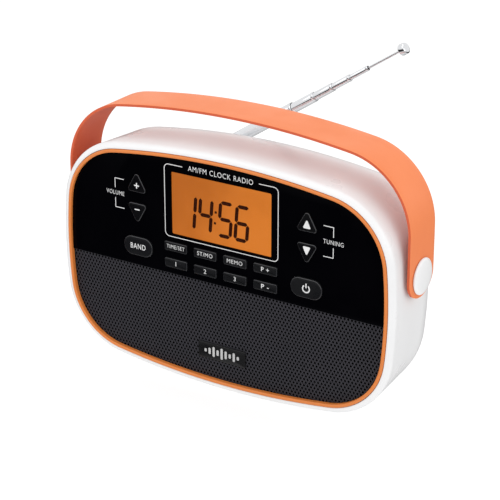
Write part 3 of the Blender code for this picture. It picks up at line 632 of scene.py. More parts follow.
def makeStudio():
    camera = bpy.data.objects.new("photoCamera", bpy.data.cameras.new("photoCamera"))
    camera.data.lens = studio["lens"]
    camera.data.sensor_width = 36.0
    camera.data.clip_end = 50.0
    aimed(camera, studio["cameraPlace"], studio["cameraAim"])
    bpy.context.scene.collection.objects.link(camera)
    bpy.context.scene.camera = camera
    world = bpy.data.worlds.new("softWorld")
    world.use_nodes = True
    tree = world.node_tree
    backdrop = tree.nodes["Background"]
    heading = tree.nodes.new("ShaderNodeTexCoord")
    parts = tree.nodes.new("ShaderNodeSeparateXYZ")
    height = tree.nodes.new("ShaderNodeMapRange")
    ramp = tree.nodes.new("ShaderNodeValToRGB")
    height.inputs["From Min"].default_value = -1.0
    stops = studio["skyStops"]
    for position, shade in stops[1:-1]:
        ramp.color_ramp.elements.new(position)
    for element, (position, shade) in zip(ramp.color_ramp.elements, stops):
        element.position = position
        element.color = (shade, shade, shade, 1.0)
    tree.links.new(heading.outputs["Generated"], parts.inputs[0])
    tree.links.new(parts.outputs["Z"], height.inputs["Value"])
    tree.links.new(height.outputs[0], ramp.inputs["Fac"])
    tree.links.new(ramp.outputs["Color"], backdrop.inputs["Color"])
    backdrop.inputs["Strength"].default_value = studio["worldStrength"]
    bpy.context.scene.world = world
    bpy.context.scene.view_settings.view_transform = "Standard"
    for name, place, size, power in studio["lamps"]:
        lamp = bpy.data.lights.new(name, "AREA")
        lamp.shape = "DISK"
        lamp.size = size
        lamp.energy = power
        holder = bpy.data.objects.new(name, lamp)
        aimed(holder, place, (0.0, 0.0, 0.08))
        bpy.context.scene.collection.objects.link(holder)
    bpy.ops.object.select_all(action="DESELECT")
    bpy.ops.mesh.primitive_plane_add(size=60.0, location=(0.0, 0.0, cadBounds[0][2]))
    floor = bpy.context.object
    floor.name = "studioFloor"
    paper = Finish("paleFloor")
    fleck = paper.noise(900.0, 2.0)
    shade = studio["floorShade"]
    paper.surface(
        baseColor=paper.blend(fleck, (shade, shade, shade), (shade * 1.02, shade * 1.02, shade * 1.02)),
        roughness=0.9,
        specularIORLevel=0.0,
        emissionColor=(1.0, 1.0, 1.0, 1.0),
        emissionStrength=studio["floorGlow"],
    )
    floor.visible_glossy = False
    floor.data.materials.append(paper.material)


# ---------- casing ----------

casing = {
    "bulge": 6.3 * mm,
    "rimDepth": 3.4 * mm,
    "rimLand": 2.6 * mm,
    "rimSteps": 10,
    "seam": 6.5 * mm,
    "seamGap": 0.06 * mm,
    "draft": 0.064,
    "roundDepth": 24 * mm,
    "roundInset": 14 * mm,
    "wall": 2.4 * mm,
    "lipWall": 1.5 * mm,
    "lipDepth": 2.5 * mm,
    "lipGap": 0.3 * mm,
    "baffleFront": 4.0 * mm,
    "baffleBack": 6.0 * mm,
    "landRound": 0.3 * mm,
    "landFall": 0.12 * mm,
    "buttonGap": 0.25 * mm,
    "fitGap": 0.6 * mm,
    "past": 1 * mm,
}


def casingOffset(depth, total):
    if depth < casing["rimDepth"]:
        rise = math.sqrt(max(0.0, 1.0 - (1.0 - depth / casing["rimDepth"]) ** 2))
        return casing["rimLand"] + (casing["bulge"] - casing["rimLand"]) * rise
    roundStart = total - casing["roundDepth"]
    drafted = casing["bulge"] - casing["draft"] * (min(depth, roundStart) - casing["rimDepth"])
    if depth <= roundStart:
        return drafted
    turn = min(1.0, (depth - roundStart) / casing["roundDepth"])
    return drafted - casing["roundInset"] * (1.0 - math.sqrt(1.0 - turn**2))


def holeRound(name, radius):
    middle, size = nodeMiddle(name)
    gap = casing["fitGap"]
    return roundedBox(middle.x, middle.z, size.x + gap, size.z + gap, radius)


def makeFrontShell():
    widest = casing["rimDepth"]
    backY = nodeBox("rear_shell")[1].y
    total = backY - frontY
    outline = faceOutline(casing["bulge"])
    front = startOutline("frontHalf", outline, frontY + widest)
    rows = []
    for step in range(casing["rimSteps"] - 1, 0, -1):
        depth = widest * (1.0 - math.cos(step / casing["rimSteps"] * math.pi / 2))
        rows.append((casingOffset(depth, total), frontY + depth))
    rows.append((casing["rimLand"] + casing["landRound"], frontY + 0.005 * mm))
    rows.append((casing["rimLand"], frontY + casing["landFall"]))
    rows.append((casing["rimLand"], frontY + casing["baffleFront"]))
    followRows(rows, (casing["bulge"], frontY + widest))
    endEdit()
    back = startOutline("backHalf", outline, frontY + widest, backwards)
    seamOffset = casingOffset(casing["seam"], total)
    lipOut = seamOffset - casing["lipWall"]
    lipIn = lipOut - casing["lipWall"]
    rows = [
        (seamOffset, frontY + casing["seam"]),
        (lipOut, frontY + casing["seam"]),
        (lipOut, frontY + casing["seam"] + casing["lipDepth"]),
        (lipIn, frontY + casing["seam"] + casing["lipDepth"]),
        (lipIn, frontY + casing["baffleBack"]),
    ]
    followRows(rows, (casing["bulge"], frontY + widest), backwards)
    endEdit()
    shell = joined("frontShell", [front, back])
    mergeDoubles(shell, 0.001 * mm)
    low = frontY + casing["baffleFront"] - casing["past"]
    high = frontY + casing["baffleBack"] + casing["past"]
    tools = [slab("hole", buttonOutline(name, casing["buttonGap"]), low, high) for name in buttonNames]
    tools.append(slab("hole", holeRound("lcd_glass", 1 * mm), low, high))
    middle, size = nodeMiddle("speaker_cone")
    tools.append(slab("hole", circlePoints(middle.x, middle.z, size.x / 2), low, high))
    combine(shell, tools)
    cleanSlivers(shell)
    smooth(shell, 32)
    finishPiece(shell, "casing", "casing", "casing_white", "front_shell")


rear = {
    "well": (5 * mm, 13 * mm),
    "bore": (2.9 * mm, 16 * mm),
    "shank": (1.8 * mm, 12 * mm, 17 * mm),
    "postInset": 0.8 * mm,
    "firstStep": 0.02 * mm,
    "turretHole": 4.3 * mm,
    "footBoss": 2 * mm,
    "bossTop": 3.5 * mm,
}


def rearForm(name, inset, total):
    # The rear half's outer shape, or one a little smaller all round.
    seam = casing["seam"] + casing["seamGap"]
    seamOffset = casingOffset(seam, total) - inset
    straight = total - casing["roundDepth"]
    turns = [straight + casing["roundDepth"] * math.sin(math.pi / 2 * step / 16) for step in range(17)]
    form = startOutline(name, faceOutline(seamOffset), frontY + seam, backwards)
    first = (seam + turns[0]) / 2
    bpy.ops.mesh.extrude_region_move(TRANSFORM_OT_translate={"value": (0.0, rear["firstStep"], 0.0)})
    rows = [(casingOffset(depth, total) - inset, frontY + depth - inset) for depth in [first] + turns]
    followRows(rows, (seamOffset, frontY + seam + rear["firstStep"]), backwards)
    endEdit()
    return form


def makeRearShell():
    total = nodeBox("rear_shell")[1].y - frontY
    shell = rearForm("rearShell", 0.0, total)
    makeRearInside(shell, total, casing["seam"] + casing["seamGap"])
    cleanSlivers(shell)
    smooth(shell, 32)
    finishPiece(shell, "casing", "casing", "casing_white", "rear_shell")


def makeRearInside(shell, total, seam):
    wall = casing["wall"]
    innerBack = total - wall
    lipRoom = casingOffset(casing["seam"], total) - casing["lipWall"] + casing["lipGap"]
    lipEnd = casing["seam"] + casing["lipDepth"] + casing["lipGap"]
    feet = [nodeBox(f"foot_{number}") for number in range(1, 5)]
    bosses = []
    for low, high in feet:
        middle = (low + high) / 2
        radius = (high.x - low.x) / 2 + rear["footBoss"]
        top = faceZ - halfHeight + rear["bossTop"]
        profile = [(radius - 0.6 * mm, low.z + 1.2 * mm), (radius, low.z + 1.7 * mm), (radius, top)]
        bosses.append(turnedPiece("boss", profile, (middle.x, middle.y, 0.0), (0, 0, 1)))
    combine(shell, bosses, "UNION")
    hollow = startOutline("hollow", faceOutline(lipRoom), frontY + seam - 1 * mm, backwards)
    bpy.ops.mesh.extrude_region_move(TRANSFORM_OT_translate={"value": (0.0, lipEnd - seam + 1 * mm, 0.0)})
    rows = []
    for step in range(6):
        depth = innerBack - casing["roundDepth"] * (1.0 - math.sin(math.pi / 2 * step / 5))
        rows.append((casingOffset(depth + wall / 2, total) - wall, frontY + depth))
    rows.insert(0, (rows[0][0] + 0.6 * mm, frontY + lipEnd))
    followRows(rows, (lipRoom, frontY + lipEnd), backwards)
    endEdit()
    combine(shell, [hollow])
    wells, bores, shanks = [], [], []
    deep, out = frontY + innerBack + casing["past"], frontY + total + casing["past"]
    for number in range(1, 5):
        middle = nodeMiddle(f"case_screw_{number}")[0]
        for group, key, end in ((wells, "well", deep), (bores, "bore", out)):
            radius, start = rear[key]
            group.append(slab(key, circlePoints(middle.x, middle.z, radius), frontY + start, end))
        radius, start, end = rear["shank"]
        shanks.append(slab("shank", circlePoints(middle.x, middle.z, radius), frontY + start, frontY + end))
    posts = joined("posts", wells)
    combine(posts, [rearForm("limit", rear["postInset"], total)], "INTERSECT")
    combine(shell, [posts], "UNION")
    combine(shell, bores)
    combine(shell, shanks)
    near = frontY + innerBack - casing["past"]
    turret = nodeMiddle("antenna_turret")[0]
    holes = [
        slab("hole", holeRound("battery_door", 0.3 * mm), near, out),
        slab("hole", holeRound("mains_inlet", 1 * mm), near, out),
        slab("hole", circlePoints(turret.x, turret.z, rear["turretHole"]), near, out),
    ]
    combine(shell, holes)
    sockets = []
    for low, high in feet:
        middle = (low + high) / 2
        radius = (high.x - low.x) / 2 + 0.3 * mm
        profile = [(radius, low.z - 1 * mm), (radius, high.z + 0.3 * mm)]
        sockets.append(turnedPiece("socket", profile, (middle.x, middle.y, 0.0), (0, 0, 1)))
    combine(shell, sockets)
    capLow, capHigh = nodeBox("handle_cap_right")
    pivot = (capLow + capHigh) / 2
    reach = capHigh.x
    profile = [(strap["bore"], -reach), (strap["bore"], reach)]
    bore = turnedPiece("bore", profile, (0.0, pivot.y, pivot.z), (1, 0, 0))
    combine(shell, [bore])


def makeFeet():
    for number in range(1, 5):
        low, high = nodeBox(f"foot_{number}")
        middle = (low + high) / 2
        radius = (high.x - low.x) / 2
        profile = [(radius * 0.3, low.z + 0.25 * mm), (radius * 0.36, low.z), (radius * 0.6, low.z)]
        profile += [(radius * 0.66, low.z + 0.25 * mm), (radius * 0.72, low.z), (radius - 0.5 * mm, low.z)]
        profile += [(radius - 0.2 * mm, low.z + 0.12 * mm), (radius, low.z + 0.5 * mm), (radius, high.z)]
        foot = turnedPiece(f"foot{number}", profile, (middle.x, middle.y, 0.0), (0, 0, 1))
        finishPiece(foot, "rubber", "casing", "rubber_black", f"foot_{number}")


def makeScrews():
    for number in range(1, 5):
        low, high = nodeBox(f"case_screw_{number}")
        middle = (low + high) / 2
        radius = (high.x - low.x) / 2
        profile = [(radius * 0.35, low.y), (radius * 0.58, low.y + 1 * mm), (radius * 0.58, high.y - 2 * mm)]
        profile += [(radius, high.y - 2 * mm), (radius, high.y - 0.9 * mm)]
        profile.append((radius * 0.86, high.y - 0.35 * mm))
        profile += [(radius * 0.6, high.y - 0.05 * mm), (radius * 0.3, high.y)]
        screw = turnedPiece(f"caseScrew{number}", profile, (middle.x, 0.0, middle.z), (0, 1, 0), 32)
        front = high.y - 1.2 * mm
        for width, height in ((2.6 * mm, 0.55 * mm), (0.55 * mm, 2.6 * mm)):
            shape = roundedBox(middle.x, middle.z, width, height, 0.1 * mm, 2)
            combine(screw, [slab("cross", shape, front, high.y + 1 * mm)])
        smooth(screw, 30)
        finishPiece(screw, "steel", "casing", "steel", f"case_screw_{number}")


grip = {
    "ribs": 5,
    "pitch": 2.2 * mm,
    "width": 18 * mm,
    "height": 0.9 * mm,
    "rise": 0.55 * mm,
    "fromTop": 6 * mm,
}


def makeDoorGrip():
    # Raised ribs for a thumb near the door's upper edge.
    low, high = nodeBox("battery_door")
    middle = (low + high) / 2
    ribs = []
    for number in range(grip["ribs"]):
        z = high.z - grip["fromTop"] - number * grip["pitch"]
        shape = roundedBox(middle.x, z, grip["width"], grip["height"], 0.4 * mm, 5)
        rib = startOutline("rib", shape, high.y - 0.3 * mm, backwards)
        outer = high.y + grip["rise"]
        rows = [(0.0, outer - 0.2 * mm), (-0.08 * mm, outer - 0.06 * mm), (-0.25 * mm, outer)]
        followRows(rows, (0.0, high.y - 0.3 * mm), backwards)
        bpy.ops.object.mode_set(mode="OBJECT")
        ribs.append(rib)
    ridges = joined("doorGrip", ribs)
    smooth(ridges, 40)
    finishPiece(ridges, "casing", "battery_door", "casing_white")


# ---------- face ----------

buttons = {
    "rockers": ("volume_up", "volume_down", "tuning_up", "tuning_down"),
    "pills": ("band", "power"),
    "keys": ("time", "store", "memo", "preset_up", "preset_1", "preset_2", "preset_3", "preset_down"),
    "rockerCorner": 1.8 * mm,
    "keyCorner": 0.9 * mm,
}
buttonNames = buttons["rockers"] + buttons["pills"] + buttons["keys"]


def buttonOutline(name, margin=0.0):
    low, high = nodeBox(f"button_{name}")
    middle, size = (low + high) / 2, high - low
    width, height = size.x + 2 * margin, size.z + 2 * margin
    if name in buttons["rockers"]:
        radius = buttons["rockerCorner"] + margin
        return roundedTriangle(middle.x, middle.z, width, height, radius, name.endswith("up"), 8)
    if name in buttons["pills"]:
        return roundedBox(middle.x, middle.z, width, height, height / 2 - 0.2 * mm, 14)
    return roundedBox(middle.x, middle.z, width, height, buttons["keyCorner"] + margin, 6)


def makeTrimRing():
    width, crown = face["ringShown"], face["ringCrown"]
    inner = 0.15 * mm
    back = frontY + 2.0 * mm
    ring = startOutline("trimRing", faceOutline(width), back)
    rows = [(width, frontY + 0.25 * mm)]
    for step in range(1, 12):
        angle = math.pi * step / 12
        offset = (width + inner) / 2 + (width - inner) / 2 * math.cos(angle)
        rows.append((offset, frontY + 0.25 * mm - (crown + 0.25 * mm) * math.sin(angle) ** 0.8))
    rows.append((inner, frontY + 0.25 * mm))
    rows.append((inner, frontY + 2.0 * mm))
    followRows(rows, (width, back))
    endEdit()
    for polygon in ring.data.polygons:
        polygon.select = len(polygon.vertices) > 4
    bpy.ops.object.mode_set(mode="EDIT")
    bpy.ops.mesh.delete(type="ONLY_FACE")
    bpy.ops.mesh.select_all(action="DESELECT")
    bpy.ops.mesh.select_non_manifold(
        extend=False, use_wire=False, use_multi_face=False, use_non_contiguous=False, use_verts=False
    )
    bpy.ops.mesh.bridge_edge_loops()
    bpy.ops.mesh.select_all(action="SELECT")
    bpy.ops.mesh.normals_make_consistent(inside=False)
    endEdit()
    smooth(ring, 50)
    finishPiece(ring, "trim", "casing", "trim_orange", "trim_ring")


def makePanel():
    low, high = nodeBox("display_panel")
    outline = clipOutline(faceOutline(0.6 * mm), low.z, True)
    edge = [(0.0, low.y + 0.3 * mm), (0.09 * mm, low.y + 0.09 * mm), (0.3 * mm, low.y)]
    panel = slab("displayPanel", outline, low.y, high.y, edge)
    near, far = low.y - casing["past"], high.y + casing["past"]
    tools = [slab("hole", buttonOutline(name, 0.22 * mm), near, far) for name in buttonNames]
    winLow = nodeBox("lcd_window")[0]
    middle, size = nodeMiddle("lcd_window")
    hole = roundedBox(middle.x, middle.z, size.x + 0.2 * mm, size.z + 0.2 * mm, 1.1 * mm)
    tools.append(slab("hole", hole, near, far))
    combine(panel, tools)
    smooth(panel, 30)
    finishPiece(panel, "panel", "casing", "panel_black", "display_panel")
    window = slab(
        "displayWindow",
        roundedBox(middle.x, middle.z, size.x, size.z, 1.0 * mm),
        winLow.y,
        winLow.y + display["pane"],
        [(0.0, winLow.y + 0.1 * mm), (0.1 * mm, winLow.y)],
    )
    smooth(window, 30)
    finishPiece(window, "window", "casing", "window_clear", "lcd_window")


printing = {
    "line": 0.46 * mm,
    "thickness": 0.04 * mm,
    "half": 39.5 * mm,
    "below": 21.6 * mm,
    "above": 24.2 * mm,
    "corner": 3.0 * mm,
    "cornerSteps": 8,
    "titleGap": 26.5 * mm,
    "title": ("AM/FM CLOCK RADIO", 4.7 * mm, 45 * mm),
    "name": (3.9 * mm, 13.2 * mm),
    "thinner": -0.02 * mm,
    "bracket": (10.3 * mm, 16.8 * mm),
    "nameGap": 3.2 * mm,
}


def makePrinting():
    # White print on the panel: a frame round the display with a gap for its title, brackets and names.
    panelFront = nodeBox("display_panel")[0].y
    ink, line, thinner = printing["thickness"], printing["line"], printing["thinner"]
    middle = nodeMiddle("lcd_window")[0]
    left, right = middle.x - printing["half"], middle.x + printing["half"]
    bottom, top = middle.z - printing["below"], middle.z + printing["above"]
    corners = [(right, top), (left, top), (left, bottom), (right, bottom)]
    border = roundCorners(corners, printing["corner"], printing["cornerSteps"])
    first = printing["cornerSteps"] + 1
    gap = printing["titleGap"]
    path = [(middle.x - gap, top)] + border[first:] + border[:first] + [(middle.x + gap, top)]
    prints = [slab("print", stroke(path, line), panelFront - ink, panelFront)]
    words, size, width = printing["title"]
    prints.append(lettering(words, size, middle.x, top, panelFront - ink / 2, ink, width, thinner))
    size, width = printing["name"]
    stub, outer = printing["bracket"]
    for side, words, upper, lower in (
        (-1, "VOLUME", "volume_up", "volume_down"),
        (1, "TUNING", "tuning_up", "tuning_down"),
    ):
        upperMiddle, lowerMiddle = nodeMiddle(f"button_{upper}")[0], nodeMiddle(f"button_{lower}")[0]
        stubX, outerX = upperMiddle.x + side * stub, upperMiddle.x + side * outer
        between = (upperMiddle.z + lowerMiddle.z) / 2
        for z, away in ((upperMiddle.z, printing["nameGap"]), (lowerMiddle.z, -printing["nameGap"])):
            band = stroke([(stubX, z), (outerX, z), (outerX, between + away)], line)
            area = sum(a[0] * b[1] - b[0] * a[1] for a, b in zip(band, band[1:] + band[:1]))
            prints.append(slab("print", band if area > 0 else band[::-1], panelFront - ink, panelFront))
        prints.append(lettering(words, size, outerX, between, panelFront - ink / 2, ink, width, thinner))
    finishPiece(joined("panelPrinting", prints), "ink", "casing", "panel_black")


digits = {
    "height": 23.2 * mm,
    "width": 10.4 * mm,
    "line": 2.35 * mm,
    "slant": 0.08,
    "gap": 0.2 * mm,
    "centres": (-18.5 * mm, -7.0 * mm, 7.0 * mm, 18.5 * mm),
    "colon": 3.45 * mm,
    "colonDot": 1.5 * mm,
    "shift": (-4.0 * mm, -3.35 * mm),
    "lit": {"1": "bc", "4": "bcfg", "5": "acdfg", "6": "acdefg"},
}


def segmentShape(start, end):
    # One bar with pointed ends, along the line from start to end.
    a, b = Vector(start), Vector(end)
    along = (b - a).normalized()
    side = Vector((-along.y, along.x)) * digits["line"] / 2
    a = a + along * digits["gap"]
    b = b - along * digits["gap"]
    point = digits["line"] / 2
    near, far = a + along * point, b - along * point
    return [a, near - side, far - side, b, far + side, near + side]


def makeDigits():
    winLow, winHigh = nodeBox("lcd_window")
    middle = (winLow + winHigh) / 2
    y = winLow.y + display["recess"]
    w, h = digits["width"] / 2 - digits["line"] / 2, digits["height"] / 2 - digits["line"] / 2
    ends = {
        "a": ((-w, h), (w, h)),
        "b": ((w, 0), (w, h)),
        "c": ((w, -h), (w, 0)),
        "d": ((-w, -h), (w, -h)),
        "e": ((-w, -h), (-w, 0)),
        "f": ((-w, 0), (-w, h)),
        "g": ((-w, 0), (w, 0)),
    }
    bars = []
    startX, level = middle.x + digits["shift"][0], middle.z + digits["shift"][1]
    centres = [startX + away for away in digits["centres"]]

    def bar(centre, shape):
        placed = [(centre + p[0] + digits["slant"] * p[1], level + p[1]) for p in shape]
        bars.append(slab("bar", placed, y - 0.03 * mm, y + 0.02 * mm))

    for centre, number in zip(centres, "1456"):
        for key in digits["lit"][number]:
            bar(centre, segmentShape(*ends[key]))
    spot = digits["colonDot"] / 2
    for up in (-digits["colon"], digits["colon"]):
        bar(startX, [(-spot, up - spot), (spot, up - spot), (spot, up + spot), (-spot, up + spot)])
    finishPiece(joined("displayDigits", bars), "segment", "casing", "lcd_amber")


def makeDisplay():
    low, high = nodeBox("lcd_glass")
    middle, size = (low + high) / 2, high - low
    winLow, winHigh = nodeBox("lcd_window")
    spot, opening = (winLow + winHigh) / 2, winHigh - winLow
    plate = slab("displayGlass", roundedBox(middle.x, middle.z, size.x, size.z, 1 * mm), low.y, high.y)
    inner = roundedBox(spot.x, spot.z, opening.x - 0.1 * mm, opening.z - 0.1 * mm, 0.9 * mm)
    raised = slab("raised", inner, winLow.y + display["recess"], low.y + 0.2 * mm)
    glass = joined("displayGlass", [plate, raised])
    finishPiece(glass, "display", "casing", "lcd_amber", "lcd_glass")


holes = {"pitch": 2.39 * mm, "radius": 0.76 * mm, "sides": 12, "sheet": 0.6 * mm, "spare": (8 * mm, 5 * mm)}


def makeGrille():
    # One cell round one hole, repeated both ways, trimmed to the face, then given its thickness.
    low, high = nodeBox("speaker_grille")
    pitch = holes["pitch"]
    rise = pitch * math.sqrt(3) / 2
    columns = math.ceil((high.x - low.x + holes["spare"][0]) / pitch) + 1
    pairs = math.ceil((high.z - low.z + holes["spare"][1]) / (2 * rise)) + 1
    bpy.ops.object.select_all(action="DESELECT")
    bpy.ops.mesh.primitive_circle_add(vertices=holes["sides"], radius=holes["radius"], fill_type="NOTHING")
    cell = bpy.context.object
    cell.name = "speakerGrille"
    bpy.ops.object.mode_set(mode="EDIT")
    bpy.ops.mesh.select_all(action="SELECT")
    bpy.ops.mesh.extrude_edges_move(TRANSFORM_OT_translate={"value": (0.0, 0.0, 0.0)})
    endEdit()
    half = Vector((pitch / 2, rise / 2))
    sides = holes["sides"]
    for corner in cell.data.vertices[sides:]:
        x, z = corner.co.x / holes["radius"], corner.co.y / holes["radius"]
        grow = 1.0 / max(abs(x), abs(z))
        corner.co.x, corner.co.y = x * grow * half.x, z * grow * half.y
    other = copyOf(cell, "otherCell", (pitch / 2, -rise, 0.0))
    cell = joined("speakerGrille", [cell, other])
    cell.data.transform(Matrix.Translation((0.0, -rise / 2, 0.0)))
    for count, step in ((columns, (pitch, 0.0, 0.0)), (pairs, (0.0, -2 * rise, 0.0))):
        array = cell.modifiers.new("repeat", "ARRAY")
        array.count = count
        array.use_relative_offset = False
        array.use_constant_offset = True
        array.constant_offset_displace = step
        array.use_merge_vertices = True
        array.merge_threshold = 0.01 * mm
        applyAll(cell)
    start = Matrix.Translation((-(columns - 1) * pitch / 2, low.y, high.z))
    cell.data.transform(start @ Matrix.Rotation(math.pi / 2, 4, "X"))
    mergeDoubles(cell, 0.01 * mm)
    trimGrille(cell, high.z, columns, pitch, rise)
    if sum(polygon.normal.y for polygon in cell.data.polygons) > 0.0:
        startEdit(cell)
        bpy.ops.mesh.flip_normals()
        endEdit()
    solid = cell.modifiers.new("sheet", "SOLIDIFY")
    solid.thickness = holes["sheet"]
    solid.offset = -1.0
    applyAll(cell)
    smooth(cell, 30)
    finishPiece(cell, "grille", "casing", "grille_black", "speaker_grille")
    # The grille's hole walls and back take the near-black finish: painted shade inside the holes.
    cell.data.materials.append(finishes["holeShade"].material)
    for polygon in cell.data.polygons:
        polygon.material_index = 0 if polygon.normal.y < -0.5 else 1
    # A near-black sheet just behind the grille: painted shade seen through the holes.
    outline = clipOutline(faceOutline(1.2 * mm), high.z, False)
    holeShade = slab("grilleHoleShade", outline, low.y + holes["sheet"] + 0.02 * mm, high.y)
    finishPiece(holeShade, "holeShade", "casing", "grille_black")


def trimGrille(cell, top, columns, pitch, rise):
    # Cells whose middle lies further out than the trim ring covers are deleted.
    limit = faceOutline(1.25 * mm)
    work = bmesh.new()
    work.from_mesh(cell.data)
    gone = []
    for polygon in work.faces:
        centre = polygon.calc_center_median()
        row = math.floor((top - centre.z) / rise)
        firstX = 0.5 * (row % 2) * pitch - (columns - 1) * pitch / 2
        column = round((centre.x - firstX) / pitch)
        middle = (firstX + column * pitch, top - (row + 0.5) * rise)
        if not insideOutline(middle, limit):
            gone.append(polygon)
    bmesh.ops.delete(work, geom=gone, context="FACES")
    work.to_mesh(cell.data)
    work.free()


def insideOutline(point, outline):
    # The outline bulges everywhere, so a point inside lies on one side of every edge.
    x, z = point
    for (x0, z0), (x1, z1) in zip(outline, outline[1:] + outline[:1]):
        if (x1 - x0) * (z - z0) - (z1 - z0) * (x - x0) < 0.0:
            return False
    return True


marks = {
    "heights": (2.2, 4.2, 6.6, 3.8, 7.4, 5.2, 3.0, 5.8, 2.4),
    "pitch": 2.9 * mm,
    "width": 1.65 * mm,
    "corner": 0.75 * mm,
    "rise": 0.12 * mm,
    "edge": 0.06 * mm,
}


def makeBadge():
    low, high = nodeBox("badge")
    middle, size = (low + high) / 2, high - low
    edge = [(0.0, low.y + 0.25 * mm), (0.08 * mm, low.y + 0.08 * mm), (0.25 * mm, low.y)]
    plate = slab("badgePlate", roundedBox(middle.x, middle.z, size.x, size.z, 0.8 * mm), low.y, high.y, edge)
    smooth(plate, 30)
    finishPiece(plate, "badge", "casing", "badge_plate", "badge")
    bars = []
    front = low.y - marks["rise"]
    edge = [(0.0, front + marks["edge"]), (marks["edge"], front)]
    for i, tall in enumerate(marks["heights"]):
        x = middle.x + (i - (len(marks["heights"]) - 1) / 2) * marks["pitch"]
        shape = roundedBox(x, middle.z, marks["width"], tall * mm, marks["corner"], 4)
        bars.append(slab("bar", shape, front, low.y + 0.05 * mm, edge))
    finishPiece(joined("badgeBars", bars), "badgeInk", "casing", "badge_plate")


legends = {
    "ink": 0.05 * mm,
    "plus": 3.6 * mm,
    "plusLine": 0.75 * mm,
    "plusUp": 4.2 * mm,
    "minusDown": 4.0 * mm,
    "arrow": (4.7 * mm, 4.9 * mm, 0.6 * mm),
    "arrowIn": 4.4 * mm,
    "powerRadius": 2.25 * mm,
    "powerLine": 0.78 * mm,
    "powerStem": 2.9 * mm,
}

# The words on the keys, with their size, their width and how much bolder they are, in millimetres.
labels = {
    "time": ("TIME/SET", 3.6, 12.8, -0.02),
    "store": ("ST/MO", 3.7, 10.8, -0.01),
    "memo": ("MEMO", 3.7, 10.8, -0.01),
    "preset_up": ("P +", 3.9, 5.4, 0.04),
    "preset_1": ("1", 4.0, None, 0.03),
    "preset_2": ("2", 4.0, None, 0.0),
    "preset_3": ("3", 4.0, None, 0.0),
    "preset_down": ("P -", 3.9, 5.2, 0.04),
    "band": ("BAND", 5.0, 11.0, 0.02),
}


def makeButtons():
    for name in buttonNames:
        low, high = nodeBox(f"button_{name}")
        front, back = low.y, high.y
        dish = 0.12 * mm
        big = name in buttons["rockers"] or name in buttons["pills"]
        shoulder = 0.55 * mm if big else 0.4 * mm
        rows = [
            (0.0, front + shoulder),
            (shoulder * 0.12, front + shoulder * 0.6),
            (shoulder * 0.4, front + shoulder * 0.22),
            (shoulder * 0.8, front + shoulder * 0.02),
            (shoulder * 1.25, front),
            (shoulder * 2.0, front + dish * 0.7),
            (shoulder * 2.8, front + dish),
        ]
        cap = slab(f"button_{name}_cap", buttonOutline(name), front, back, rows)
        smooth(cap, 50)
        finish = "rocker" if name in buttons["rockers"] else "button"
        finishPiece(cap, finish, f"key_{name}", "button_black", f"button_{name}")
        # The rounded shoulder round each key's face takes the lighter grey: a painted highlight on its rim.
        cap.data.materials.append(finishes["buttonRimHighlight"].material)
        for polygon in cap.data.polygons:
            rounded = 0.3 < -polygon.normal.y < 0.93
            polygon.material_index = 1 if rounded and polygon.center.y < front + shoulder else 0
        makeLegend(name, low, high, front + dish)


def makeLegend(name, low, high, y):
    middle = (low + high) / 2
    ink = legends["ink"]
    top, under = y - ink * 0.8, y + ink * 0.2

    def bar(z, width, height, radius=0.1 * mm, steps=2):
        return slab("mark", roundedBox(middle.x, z, width, height, radius, steps), top, under)

    long, line = legends["plus"], legends["plusLine"]
    if name == "power":
        radius, line = legends["powerRadius"], legends["powerLine"]
        arc = []
        for step in range(25):
            angle = math.radians(125 + 290 * step / 24)
            arc.append((middle.x + radius * math.cos(angle), middle.z - 0.2 * mm + radius * math.sin(angle)))
        ring = slab("mark", stroke(arc, line), top, under)
        stem = bar(middle.z + 1.7 * mm, line, legends["powerStem"], 0.2 * mm, 3)
        legend = joined("legend", [ring, stem])
    elif name == "volume_up":
        legend = bar(low.z + legends["plusUp"], long, line)
        combine(legend, [bar(low.z + legends["plusUp"], line, long)], "UNION")
    elif name == "volume_down":
        legend = bar(high.z - legends["minusDown"], long, line)
    elif name.startswith("tuning"):
        up = name.endswith("up")
        z = low.z + legends["arrowIn"] if up else high.z - legends["arrowIn"]
        legend = slab("mark", roundedTriangle(middle.x, z, *legends["arrow"], up, 4), top, under)
    else:
        words, size, width, weight = labels[name]
        width = width * mm if width else None
        legend = lettering(words, size * mm, middle.x, middle.z, y - ink * 0.3, ink, width, weight * mm)
    legend.name = f"legend_{name}"
    finishPiece(legend, "ink", f"key_{name}", "button_black")


# ---------- handle ----------

strap = {
    "topRadius": 540 * mm,
    "shoulderRadius": 46 * mm,
    "sideRadius": 3000 * mm,
    "thickness": 1.55 * mm,
    "edge": 0.35 * mm,
    "endDrop": 0.86,
    "endSteps": 18,
    "steps": (12, 30, 26),
    "bore": 4.8 * mm,
}


def strapPath(halfSpan, rise):
    # Half of the strap's line from its side to its crown: places and outward directions.
    radii = (strap["sideRadius"], strap["shoulderRadius"], strap["topRadius"])
    path = []
    for x, z, radius, angle in quarterArcs(halfSpan, rise, radii, strap["steps"]):
        outX, outZ = math.cos(angle), math.sin(angle)
        path.append((x + radius * outX, z + radius * outZ, outX, outZ))
    return path


